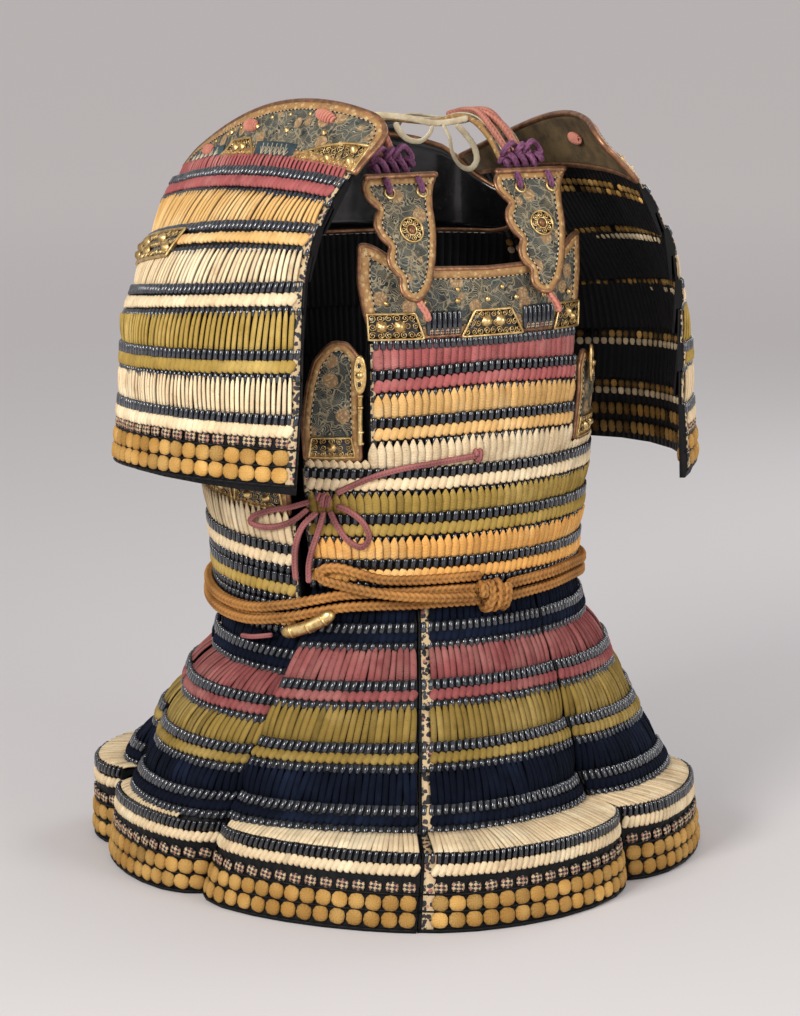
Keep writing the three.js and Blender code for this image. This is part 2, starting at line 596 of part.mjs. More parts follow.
/** The leaning edge line of a guard at a length up from its foot: place, lean and bulge. */
function guardEdge(up) {
  const steps = 40;
  let [x, z] = [GUARD.edgeX, GUARD.edgeZ];
  for (let step = 0; step < steps; step++) {
    const lean = radians(between(GUARD_SHAPE, 'up', (step + 0.5) * up / steps).lean);
    x -= Math.sin(lean) * up / steps;
    z += Math.cos(lean) * up / steps;
  }
  const { lean, bulge } = between(GUARD_SHAPE, 'up', up);
  return { x, z, lean: radians(lean), bulge };
}

/** A point of a guard: share across from front to back, length up from its foot, distance out. */
function guardPoint({ side, place, turn }, across, up, out) {
  const { x, z, lean, bulge } = guardEdge(up);
  const radius = (GUARD.halfChord ** 2 + bulge ** 2) / (2 * bulge);
  const half = Math.asin(GUARD.halfChord / radius);
  const skin = radius + out - SCALE_FACE;
  const bow = skin * Math.cos(across * half) - radius * Math.cos(half);
  const [dx, y, dz] = [bow * Math.cos(lean), skin * Math.sin(across * half), bow * Math.sin(lean)];
  const pivot = new THREE.Vector3(side * GUARD.edgeX, 0, 0);
  return new THREE.Vector3(side * (x + dx), y, z + dz)
    .sub(pivot)
    .applyAxisAngle(UPWARD, radians(turn))
    .add(pivot)
    .add(new THREE.Vector3(...place));
}

/** One row of scales of a guard. The last row reaches down to the guard's foot. */
function guardRow(guard, index) {
  const row = GUARD_ROWS[index];
  const above = GUARD_ROWS[index - 1];
  const last = index === GUARD_ROWS.length - 1;
  const sections = GUARD_STATIONS.map((across) => {
    const head = row.head - row.skew * across;
    const foot = above
      ? above.head - above.skew * across - ROW_DEPTH
      : GUARD_PLATE.foot - GUARD_PLATE.footSkew * across;
    return rowSection(foot - SEAM - head, !last, last ? head : ROW_DEPTH);
  });
  const rings = GUARD_STATIONS.map((across, station) => sections[station].map(({ down, out }) => {
    return guardPoint(guard, across, row.head - row.skew * across - down, out);
  }));
  return loft(rings, [flatRow(sections[0]), flatRow(sections.at(-1))]);
}

/** The leather-faced plate along the top of a guard, with rounded upper corners. */
function guardPlate(guard) {
  const { foot, footSkew, top, topSkew, thickness, out } = GUARD_PLATE;
  const columns = GUARD_PLATE_STATIONS.map((across) => {
    const corner = across < 0 ? GUARD_PLATE.corner : GUARD_PLATE.backCorner;
    const inset = Math.max(0, corner - (1 - Math.abs(across)) * GUARD.halfChord);
    const high = top - topSkew * across - corner + Math.sqrt(corner ** 2 - inset ** 2);
    return [0, 0.25, 0.5, 0.75, 1].map((share) => lerp(foot - footSkew * across, high, share));
  });
  const rings = columns.map((column, index) => [
    ...column.map((up) => guardPoint(guard, GUARD_PLATE_STATIONS[index], up, out)),
    ...column.toReversed().map((up) => guardPoint(guard, GUARD_PLATE_STATIONS[index], up, out - thickness)),
  ]);
  const flat = (column) => [
    ...column.map((up) => new THREE.Vector2(out, up)),
    ...column.toReversed().map((up) => new THREE.Vector2(out - thickness, up)),
  ];
  return loft(rings, [flat(columns[0]), flat(columns.at(-1))]);
}

/** The gilt bar on a guard's second row. */
function guardBar(guard) {
  const { head, skew } = GUARD_ROWS[1];
  const { from, to, drop, depth, thickness, clear } = GUARD_BAR;
  const inner = SCALE_FACE + clear;
  const rings = [0, 0.25, 0.5, 0.75, 1].map((share) => {
    const across = lerp(from, to, share);
    const top = head - skew * across - drop;
    return [[top, inner], [top, inner + thickness], [top - depth, inner + thickness], [top - depth, inner]]
      .map(([up, out]) => guardPoint(guard, across, up, out));
  });
  const flat = [[0, 0], [1, 0], [1, 1], [0, 1]].map(([x, y]) => new THREE.Vector2(x, y));
  return loft(rings, [flat, flat]);
}

function addGuards() {
  for (const guard of GUARD_SIDES) {
    add(`guard_${guard.word}_plate`, guardPlate(guard), 'leather');
    GUARD_ROWS.forEach(({ name, colour }, index) => {
      add(`guard_${guard.word}_${name}`, guardRow(guard, index), colour);
    });
    add(`guard_${guard.word}_bar`, guardBar(guard), 'gilt');
  }
}

// ---------------------------------------------------------------- belt, ties and small metal

/** Points on the body from [degrees round, height, distance out]. */
const onBody = (points) => points.map(([angle, z, out]) => torsoPoint(angle, z, out));

/** A knot that lies on the body. */
function bodyKnot({ angle, z, out, half }) {
  return knot(torsoPoint(angle, z, out), half, radians(angle));
}

function addBelt() {
  const lowerTurn = BELT_TURN.map(([angle, z, out]) => [angle, z - BELT.pitch, out]);
  add('belt_upper_turn', cord(onBody(BELT_TURN), BELT.diameter, BELT.steps), 'rope');
  add('belt_lower_turn', cord(onBody(lowerTurn), BELT.diameter, BELT.steps), 'rope');
  add('belt_bight', cord(onBody(BELT_BIGHT), BELT.diameter, BELT_BIGHT_STEPS), 'rope');
  add('belt_knot', bodyKnot(BELT_KNOT), 'rope');
  add('belt_end', cord(onBody(BELT_END), BELT_END_DIAMETER, 8, 10), 'gilt');
}

function addTies() {
  add('tie_run', cord(onBody(TIE_RUN), TIE_DIAMETER, 14), 'bow');
  add('tie_knot', bodyKnot(TIE_KNOT), 'bow');
  add('tie_loop_right', cord(onBody(TIE_LOOP_RIGHT), TIE_DIAMETER, 18), 'bow');
  add('tie_loop_left', cord(onBody(TIE_LOOP_LEFT), TIE_DIAMETER, 18), 'bow');
  TIE_TAILS.forEach((tail, index) => {
    add(`tie_tail_${index + 1}`, cord(onBody(tail), TIE_DIAMETER, 10), 'bow');
  });
  add('tie_lower', cord(onBody(TIE_LOWER), TIE_LOWER_DIAMETER, 6), 'bow');
  const straight = (points) => points.map((point) => new THREE.Vector3(...point));
  add('strap_tie_span', cord(straight(STRAP_TIE_SPAN), STRAP_TIE_DIAMETER, 14), 'cream');
  add('strap_tie_bow', cord(straight(STRAP_TIE_BOW), STRAP_TIE_DIAMETER, 12), 'cream');
  add('strap_tie_loop', cord(straight(STRAP_TIE_LOOP), STRAP_TIE_DIAMETER, 20), 'cream');
}

function addFittings() {
  for (const { name, angle, z, out } of TOGGLES) {
    const { halfWidth, halfHeight, thickness } = TOGGLE;
    const outline = new THREE.Shape().absellipse(0, 0, halfWidth, halfHeight, 0, 2 * Math.PI);
    const settings = { depth: thickness, bevelEnabled: false, curveSegments: 12 };
    const plate = new THREE.ExtrudeGeometry(outline, settings);
    plate.rotateX(Math.PI / 2);
    plate.rotateZ(radians(angle));
    add(name, plate.translate(...torsoPoint(angle, z, out).toArray()), 'gilt');
  }
  const { angle, from, to, out, diameter } = ROD;
  const rod = new THREE.CylinderGeometry(diameter / 2, diameter / 2, to - from, 10);
  rod.rotateX(Math.PI / 2);
  add('hinge_rod', rod.translate(...torsoPoint(angle, (from + to) / 2, out).toArray()), 'gilt');
}

// ---------------------------------------------------------------- assembly

addBody();
addPlates();
addStraps();
addSkirt();
addGuards();
addBelt();
addTies();
addFittings();

export default armour;
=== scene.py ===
"""Dresses a laced lamellar armour: lacquered scales, silk lacing, leather, gilt fittings and cords.

Lengths in the tables are millimetres; meshes are made in metres. The wearer faces -Y, and the
wearer's right is at -X.
"""
import logging
import math
import random
from dataclasses import dataclass, field
from enum import Enum
from functools import partial
from typing import Callable, Iterable, Sequence

import bmesh
import bpy
import numpy as np
from mathutils import Matrix, Vector


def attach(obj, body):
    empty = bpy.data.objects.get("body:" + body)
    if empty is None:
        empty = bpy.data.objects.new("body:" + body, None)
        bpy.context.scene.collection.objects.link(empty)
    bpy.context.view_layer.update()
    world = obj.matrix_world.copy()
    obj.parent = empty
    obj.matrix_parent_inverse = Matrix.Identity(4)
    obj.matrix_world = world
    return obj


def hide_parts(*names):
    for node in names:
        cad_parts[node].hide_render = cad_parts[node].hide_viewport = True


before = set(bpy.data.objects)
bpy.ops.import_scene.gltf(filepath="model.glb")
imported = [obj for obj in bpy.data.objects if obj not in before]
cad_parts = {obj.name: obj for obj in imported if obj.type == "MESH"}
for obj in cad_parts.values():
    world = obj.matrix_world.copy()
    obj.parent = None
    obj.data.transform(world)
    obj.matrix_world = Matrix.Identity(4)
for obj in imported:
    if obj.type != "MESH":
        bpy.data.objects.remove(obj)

LOG = logging.getLogger("armour")
MM = 0.001
BODY = "root"
FACE = 9.2  # how far the scales' faces stand out from the carrying surface
BAND_FOOT = 5.6  # how far the lacing's lower end stands out
BAND_TOP = 6.7
INNER_TOP = 3.8  # the inside of a row, at the tops of its scales
INNER_SLOPE = 5.3 / 54
SEAM = 0.7
ROW_DEPTH = 29.0
PITCH = 8.0  # from bare scale to bare scale
KNOT_PITCH = 15.6  # from cross knot to cross knot along the hems
TRIM_WIDTH = 10.5
LEAF_LEAN = -9  # degrees that each leaf-shaped ribbon is turned about its own length
HEM_CHECKS = 43.2  # heights above a hem's foot: its checks, its two lines of knots, its ridges
HEM_KNOTS = (28.5, 12.6)
HEM_RIDGES = (20.6, 2.6, 36.8)
FULL_TURN = 2 * math.pi

Point = tuple[float, float, float]
Surface = Callable[[float, float, float], Vector]


# ---------------------------------------------------------------- shader arithmetic


class Socket:
    """An output socket whose arithmetic adds Math nodes."""

    def __init__(self, shader: "Shader", output: bpy.types.NodeSocket) -> None:
        """Wraps one output of a node of the shader."""
        self.shader = shader
        self.output = output

    def math(self, operation: str, *others: "Socket | float") -> "Socket":
        """The result of a Math node on this socket and others.

        Args:
            operation: the Math node's operation.
            others: the other operands, sockets or numbers.

        Returns:
            The node's output.
        """
        values = dict(enumerate((self, *others)))
        return self.shader.node("ShaderNodeMath", {"operation": operation}, values)

    def __add__(self, other: "Socket | float") -> "Socket":
        """This plus another."""
        return self.math("ADD", other)

    def __sub__(self, other: "Socket | float") -> "Socket":
        """This less another."""
        return self.math("SUBTRACT", other)

    def __mul__(self, other: "Socket | float") -> "Socket":
        """This times another."""
        return self.math("MULTIPLY", other)

    def __rsub__(self, other: float) -> "Socket":
        """A number less this."""
        return (self * -1.0).math("ADD", other)

    __radd__ = __add__
    __rmul__ = __mul__

    def between(self, low: float, high: float) -> "Socket":
        """A smooth step from 0 at low to 1 at high."""
        settings = {"interpolation_type": "SMOOTHSTEP"}
        return self.shader.node("ShaderNodeMapRange", settings, {0: self, 1: low, 2: high})


class Shader:
    """A material under construction."""

    def __init__(self, name: str) -> None:
        """Starts a material that has only its Principled shader.

        Args:
            name: the material's name.
        """
        self.material = bpy.data.materials.new(name)
        self.material.use_nodes = True
        self.tree = self.material.node_tree
        self.principled = self.tree.nodes["Principled BSDF"]

    def node(self, kind: str, settings: dict | None = None, inputs: dict | None = None,
             output: int | str = 0, stops: Sequence[tuple] = ()) -> Socket:
        """Adds a node.

        Args:
            kind: the node's type.
            settings: properties of the node, set first.
            inputs: values or sockets for its inputs, by index or name.
            output: which output is wanted.
            stops: a colour ramp's (place, colour) pairs.

        Returns:
            The wanted output.
        """
        made = self.tree.nodes.new(kind)
        for key, value in (settings or {}).items():
            setattr(made, key, value)
        for index, (place, colour) in enumerate(stops):
            elements = made.color_ramp.elements
            stop = elements[index] if index < 2 else elements.new(place)
            stop.position, stop.color = place, (*colour, 1)
        for key, value in (inputs or {}).items():
            self.plug(made.inputs[key], value)
        return Socket(self, made.outputs[output])

    def plug(self, target: bpy.types.NodeSocket, value: object) -> None:
        """Links a socket to an input, or sets the input's own value.

        Args:
            target: the input.
            value: a socket to link, or a number or colour to set.
        """
        if isinstance(value, Socket):
            self.tree.links.new(value.output, target)
        elif isinstance(value, tuple) and len(value) == 3 and len(target.default_value) == 4:
            target.default_value = (*value, 1)
        else:
            target.default_value = value

    def mix(self, factor: Socket | float, low: object, high: object, blend: str = "MIX") -> Socket:
        """A mix of two colours."""
        settings = {"data_type": "RGBA", "blend_type": blend}
        return self.node("ShaderNodeMix", settings, {0: factor, 6: low, 7: high}, 2)

    def place(self, scale: Point = (1000, 1000, 1000), turn: Point = (0, 0, 0)) -> Socket:
        """Object coordinates in millimetres, or at another scale and turn."""
        there = self.node("ShaderNodeTexCoord", output="Object")
        return self.node("ShaderNodeMapping", None, {0: there, 2: turn, 3: scale})

    def uv(self, scale: Point = (1, 1, 1), turn: Point = (0, 0, 0)) -> Socket:
        """The surface's own map: share across, and millimetres or share along."""
        return self.node("ShaderNodeMapping", None,
                         {0: self.node("ShaderNodeUVMap"), 2: turn, 3: scale})

    def axes(self, vector: Socket) -> tuple[Socket, Socket, Socket]:
        """The three numbers of a vector.

        Args:
            vector: the vector.

        Returns:
            Its x, y and z.
        """
        split = self.node("ShaderNodeSeparateXYZ", None, {0: vector})
        outputs = split.output.node.outputs
        return tuple(Socket(self, outputs[index]) for index in range(3))

    def tone(self) -> Socket:
        """How much lighter or darker this one ribbon, scale or strand is: its own chance tone, with
        painted light and shade by row, in the plaits' creases and inside the guards.
        """
        return self.node("ShaderNodeAttribute", {"attribute_name": "tone"}, output="Fac")

    def grey(self, value: Socket) -> Socket:
        """A grey of the given brightness."""
        return self.node("ShaderNodeCombineColor", None, {0: value, 1: value, 2: value})

    def noise(self, at: Socket, scale: float, detail: float = 2, rough: float = 0.5) -> Socket:
        """A soft noise from 0 to 1."""
        return self.node("ShaderNodeTexNoise", None,
                         {"Vector": at, "Scale": scale, "Detail": detail, "Roughness": rough})

    def cells(self, at: Socket, scale: float, feature: str = "F1",
              output: str = "Distance") -> Socket:
        """Distance or colour of scattered cells."""
        return self.node("ShaderNodeTexVoronoi", {"feature": feature},
                         {"Vector": at, "Scale": scale}, output)

    def bump(self, height: Socket, millimetres: float, strength: float = 1.0) -> Socket:
        """A bumped normal from a height of 0 to 1."""
        return self.node("ShaderNodeBump", None,
                         {"Height": height, "Distance": millimetres * MM, "Strength": strength})

    def done(self, **sockets: object) -> bpy.types.Material:
        """Sets or links the Principled shader's inputs by name, with _ for a space.

        Args:
            sockets: a value or socket for each input.

        Returns:
            The material.
        """
        for name, value in sockets.items():
            self.plug(self.principled.inputs[name.replace("_", " ")], value)
        return self.material


# ---------------------------------------------------------------- finishes


@dataclass(frozen=True)
class Silk:
    """A flat braid of dyed silk, a little faded and dusty."""

    name: str
    dye: Point
    worn: Point
    deep: Point

    def material(self) -> bpy.types.Material:
        """The braid: chevrons along it, patches of wear, each ribbon's own tone with its row's painted
        light and shade, and painted shade down its sides.

        Returns:
            The material.
        """
        shader = Shader(self.name)
        across, along, _ = shader.axes(shader.uv())
        spot = shader.place()
        fold = (across - 0.5).math("ABSOLUTE")
        chevron = ((along * 4.2) + (fold * 9.0)).math("SINE") * 0.5 + 0.5
        thread = shader.noise(spot, 1.6, 4, 0.7)
        patch = shader.noise(spot, 0.016, 3, 0.6)
        colour = shader.mix(patch.between(0.42, 0.7), self.dye, self.worn)
        spots = shader.noise(spot, 0.3, 4, 0.75).between(0.57, 0.72)
        colour = shader.mix(spots * 0.7, colour, self.deep)
        stain = shader.noise(spot, 0.045, 3, 0.6).between(0.52, 0.74)
        colour = shader.mix(stain * 0.45, colour, self.deep)
        # The tone brings each ribbon's own chance tone and its row's painted light and shade.
        shade = shader.tone() * 0.13 + thread * 0.5 + chevron * 0.14 + 0.68
        # Painted shade: edge darkens each braid towards its two sides.
        edge = 1 - fold.between(0.3, 0.52) * 0.45
        colour = shader.mix(1.0, colour, shader.grey(shade * edge), "MULTIPLY")
        height = chevron * 0.6 + thread * 0.8
        return shader.done(Base_Color=colour, Roughness=0.9,
                           Normal=shader.bump(height, 0.55, 1.0), Specular_IOR_Level=0.08)


@dataclass(frozen=True)
class Lacquer:
    """Glossy lacquer, blue-black, with rubbed lighter places."""

    name: str
    base: Point = (0.004, 0.005, 0.009)
    rubbed: Point = (0.036, 0.042, 0.056)
    roughness: float = 0.12

    def material(self) -> bpy.types.Material:
        """Lacquer on single scales, each with its own tone.

        Returns:
            The material.
        """
        shader = Shader(self.name)
        spot = shader.place()
        wear = shader.noise(spot, 0.25, 4, 0.65).between(0.5, 0.75)
        shade = shader.tone().between(-1.6, 1.6)
        colour = shader.mix(wear * 0.5 + shade * 0.5, self.base, self.rubbed)
        rough = shader.noise(spot, 0.3, 3) * 0.2 + self.roughness
        return shader.done(Base_Color=colour, Roughness=rough, Specular_IOR_Level=0.4,
                           Coat_Weight=1.0, Coat_Roughness=0.05,
                           Normal=shader.bump(shader.noise(spot, 0.35), 0.06))


class Ridges(Enum):
    """Which way the ridges of a row's bare scales are counted."""

    ROUND = "round"
    STRAIGHT = "straight"


@dataclass(frozen=True)
class ScaleCore:
    """The bare lacquered scales under the lacing and inside the armour: upright ridges."""

    name: str
    ridges: Ridges
    radius: float = 190.0

    def material(self) -> bpy.types.Material:
        """Black lacquer over ridges one scale apart, with painted shade in the creases between them.

        Returns:
            The material.
        """
        shader = Shader(self.name)
        spot = shader.place()
        x, y, _ = shader.axes(spot)
        along = y if self.ridges is Ridges.STRAIGHT else x.math("ARCTAN2", y) * self.radius
        wave = (along * (math.pi / PITCH)).math("SINE").math("ABSOLUTE")
        worn = shader.noise(spot, 0.03, 4, 0.7).between(0.5, 0.8)
        colour = shader.mix(worn, (0.004, 0.004, 0.005), (0.012, 0.010, 0.009))
        # Painted shade: the creases between the ridges are darkened.
        crease = 1 - wave.between(0.0, 0.45) * 0.75
        colour = shader.mix(crease, colour, (0.003, 0.003, 0.004))
        rough = shader.noise(spot, 0.2, 3) * 0.25 + 0.42
        return shader.done(Base_Color=colour, Roughness=rough, Specular_IOR_Level=0.16,
                           Normal=shader.bump(wave, 1.1, 0.9))


@dataclass(frozen=True)
class PlainLacquer:
    """Smooth glossy black lacquer on the inside of a plate."""

    name: str
    base: Point = (0.004, 0.004, 0.005)

    def material(self) -> bpy.types.Material:
        """Black lacquer with dust and faint brush waves.

        Returns:
            The material.
        """
        shader = Shader(self.name)
        spot = shader.place()
        dust = shader.noise(spot, 0.05, 5, 0.7).between(0.45, 0.8)
        colour = shader.mix(dust * 0.5, self.base, (0.02, 0.018, 0.017))
        rough = shader.noise(spot, 0.15, 3) * 0.22 + 0.12
        return shader.done(Base_Color=colour, Roughness=rough, Coat_Weight=0.5,
                           Coat_Roughness=0.08, Normal=shader.bump(shader.noise(spot, 0.04), 0.8))


@dataclass(frozen=True)
class PrintedLeather:
    """Stencilled leather: cream leaf scrolls and tan flowers on a slate-blue ground."""

    name: str

    def material(self) -> bpy.types.Material:
        """Curling lines with veined leaves, and round flowers with petals.

        Returns:
            The material.
        """
        shader = Shader(self.name)
        spot = shader.place()
        sway = shader.node("ShaderNodeTexNoise", None,
                           {"Vector": spot, "Scale": 0.09, "Detail": 1.0}, 1)
        push = shader.node("ShaderNodeVectorMath", {"operation": "MULTIPLY_ADD"},
                           {0: sway, 1: (16.0, 16.0, 16.0), 2: spot})
        stems = 1 - shader.cells(push, 0.085, "DISTANCE_TO_EDGE").between(0.0, 0.075)
        veins = shader.node("ShaderNodeTexWave", {"wave_type": "BANDS", "bands_direction": "DIAGONAL"},
                            {"Vector": push, "Scale": 0.26, "Distortion": 24.0, "Detail": 2.0,
                             "Detail Scale": 0.055}, 1).between(0.7, 0.9)
        clump = shader.noise(spot, 0.06, 2).between(0.4, 0.56)
        print_ = (veins * (0.3 + clump * 0.6)).math("MAXIMUM", stems * 0.7)
        flower = shader.cells(spot, 0.046)
        petals = shader.cells(push, 0.34).between(0.1, 0.62)
        bloom = 1 - flower.between(0.3, 0.36)
        heart = 1 - flower.between(0.05, 0.09)
        ground = shader.mix(shader.noise(spot, 0.05, 3).between(0.4, 0.6), (0.011, 0.016, 0.017),
                            (0.028, 0.042, 0.045))
        cream = shader.mix(shader.noise(spot, 0.12, 3), (0.3, 0.235, 0.135), (0.5, 0.41, 0.25))
        tan = shader.mix(petals, (0.5, 0.35, 0.18), (0.27, 0.16, 0.075))
        colour = shader.mix(print_ * 0.9, ground, cream)
        colour = shader.mix(bloom * 0.94, colour, tan)
        colour = shader.mix(heart * 0.6, colour, (0.24, 0.13, 0.06))
        grain = shader.noise(spot, 1.1, 4, 0.7)
        return shader.done(Base_Color=colour, Roughness=grain * 0.2 + 0.5,
                           Normal=shader.bump(grain + print_ * 0.5, 0.25), Specular_IOR_Level=0.35)


@dataclass(frozen=True)
class TanLeather:
    """The tan border inside a rim, printed with small pale flowers."""

    name: str
    base: Point = (0.35, 0.185, 0.06)
    pale: Point = (0.56, 0.4, 0.19)

    def material(self) -> bpy.types.Material:
        """Tan leather, small pale flowers, and dirt near the stitches.

        Returns:
            The material.
        """
        shader = Shader(self.name)
        spot = shader.place()
        flowers = 1 - shader.cells(spot, 0.17).between(0.3, 0.42)
        petals = shader.cells(spot, 0.75).between(0.15, 0.5)
        colour = shader.mix(flowers * petals * 0.8, self.base, self.pale)
        dirt = shader.noise(spot, 0.16, 4, 0.75).between(0.46, 0.7)
        colour = shader.mix(dirt * 0.75, colour, (0.16, 0.08, 0.035))
        grain = shader.noise(spot, 1.3, 4, 0.7)
        return shader.done(Base_Color=colour, Roughness=grain * 0.2 + 0.45,
                           Normal=shader.bump(grain, 0.3))


@dataclass(frozen=True)
class SpottedTrim:
    """The edge binding: cream leather with dark and rose spots."""

    name: str

    def material(self) -> bpy.types.Material:
        """Dark broken spots with rose hearts on cream.

        Returns:
            The material.
        """
        shader = Shader(self.name)
        spot = shader.place()
        bend = shader.node("ShaderNodeTexNoise", None, {"Vector": spot, "Scale": 0.22}, 1)
        push = shader.node("ShaderNodeVectorMath", {"operation": "MULTIPLY_ADD"},
                           {0: bend, 1: (6.0, 6.0, 6.0), 2: spot})
        away = shader.cells(push, 0.2)
        dark = 1 - away.between(0.46, 0.54)
        heart = 1 - shader.cells(spot, 0.09).between(0.14, 0.22)
        cream = shader.mix(shader.noise(spot, 0.2, 3), (0.4, 0.27, 0.13), (0.6, 0.46, 0.28))
        colour = shader.mix(dark, cream, (0.014, 0.013, 0.018))
        colour = shader.mix(heart * 0.8, colour, (0.38, 0.12, 0.11))
        return shader.done(Base_Color=colour, Roughness=0.62,
                           Normal=shader.bump(shader.noise(spot, 1.5, 3), 0.3))


@dataclass(frozen=True)
class KnotSilk:
    """The ochre cross knots along the hems, of thick tufted silk."""

    name: str
    base: Point = (0.38, 0.2, 0.05)
    worn: Point = (0.54, 0.32, 0.1)

    def material(self) -> bpy.types.Material:
        """Strands that turn round each knot's middle, with painted shade towards its rim.

        Returns:
            The material.
        """
        shader = Shader(self.name)
        across, along, _ = shader.axes(shader.uv())
        x, y = across - 0.5, along - 0.5
        turn = x.math("ARCTAN2", y)
        away = (x * x + y * y).math("SQRT")
        cross = ((x + y) * 30.0).math("SINE") * ((x - y) * 30.0).math("SINE") * 0.5 + 0.5
        ring = (turn * 9.0 + away * 14.0).math("SINE") * 0.5 + 0.5
        strands = cross * 0.6 + ring * 0.4
        spot = shader.place()
        thread = shader.noise(spot, 1.4, 4, 0.75)
        colour = shader.mix(shader.noise(spot, 0.03, 2).between(0.35, 0.7), self.base, self.worn)
        # The tone brings each knot's chance tone and its row's painted light and shade; away darkens the
        # knot towards its rim as painted shade.
        shade = shader.tone() * 0.26 + thread * 0.5 + strands * 0.34 + 0.48 - away * 0.35
        colour = shader.mix(1.0, colour, shader.grey(shade), "MULTIPLY")
        return shader.done(Base_Color=colour, Roughness=0.88, Specular_IOR_Level=0.15,
                           Normal=shader.bump(strands * 0.5 + thread, 0.6))


@dataclass(frozen=True)
class CheckedSilk:
    """Cream, rose and black threads crossed in small checks."""

    name: str

    def material(self) -> bpy.types.Material:
        """A diagonal check on each knot.

        Returns:
            The material.
        """
        shader = Shader(self.name)
        turned = shader.uv((4.0, 4.0, 1), (0, 0, math.pi / 4))
        check = shader.node("ShaderNodeTexChecker", None, {0: turned, 3: 1.0}, 1)
        spot = shader.place()
        hue = shader.noise(spot, 0.22, 1).between(0.5, 0.56)
        pale = shader.mix(hue, (0.5, 0.37, 0.21), (0.34, 0.17, 0.11))
        colour = shader.mix(check, pale, (0.016, 0.015, 0.022))
        thread = shader.noise(spot, 1.5, 3)
        return shader.done(Base_Color=colour, Roughness=0.8, Normal=shader.bump(thread, 0.5))


@dataclass(frozen=True)
class Metal:
    """Copper or gilt metal with dull places."""

    name: str
    bright: Point
    dull: Point
    roughness: float
    metallic: float = 1.0

    def material(self) -> bpy.types.Material:
        """Worn metal: brighter where rubbed, dull and rougher elsewhere.

        Returns:
            The material.
        """
        shader = Shader(self.name)
        spot = shader.place()
        wear = shader.noise(spot, 0.12, 4, 0.65).between(0.38, 0.66)
        colour = shader.mix(wear, self.dull, self.bright)
        rough = shader.noise(spot, 0.5, 3) * 0.25 + self.roughness - wear * 0.08
        return shader.done(Base_Color=colour, Metallic=self.metallic, Roughness=rough,
                           Normal=shader.bump(shader.noise(spot, 0.7, 3), 0.15))


@dataclass(frozen=True)
class CordSilk:
    """Round cord, or the strands of a plait."""

    name: str
    base: Point
    dark: Point

    def material(self) -> bpy.types.Material:
        """Fine threads and soiled places, with the plaits' painted crease shade from the tone.

        Returns:
            The material.
        """
        shader = Shader(self.name)
        spot = shader.place()
        across, along, _ = shader.axes(shader.uv())
        thread = ((across * 26.0) + (along * 3.0)).math("SINE") * 0.5 + 0.5
        fuzz = shader.noise(spot, 1.2, 4, 0.7)
        soil = shader.noise(spot, 0.05, 4, 0.65).between(0.4, 0.75)
        colour = shader.mix(soil * 0.7, self.base, self.dark)
        # The tone carries the plaits' painted shade in their creases.
        shade = shader.tone() * 0.3 + fuzz * 0.4 + thread * 0.1 + 0.8
        colour = shader.mix(1.0, colour, shader.grey(shade), "MULTIPLY")
        return shader.done(Base_Color=colour, Roughness=0.82, Specular_IOR_Level=0.2,
                           Normal=shader.bump(fuzz + thread * 0.4, 0.3))


@dataclass(frozen=True)
class SmokedLeather:
    """Plain worn leather for linings and ties."""

    name: str
    base: Point
    dark: Point

    def material(self) -> bpy.types.Material:
        """Soft leather with creases and soil.

        Returns:
            The material.
        """
        shader = Shader(self.name)
        spot = shader.place()
        soil = shader.noise(spot, 0.04, 5, 0.7).between(0.35, 0.7)
        colour = shader.mix(soil, self.base, self.dark)
        specks = 1 - shader.cells(spot, 0.24).between(0.08, 0.16)
        colour = shader.mix(specks * 0.35, colour, self.dark)
        grain = shader.noise(spot, 0.9, 5, 0.7)
        return shader.done(Base_Color=colour, Roughness=grain * 0.2 + 0.55,
                           Normal=shader.bump(grain, 0.35))


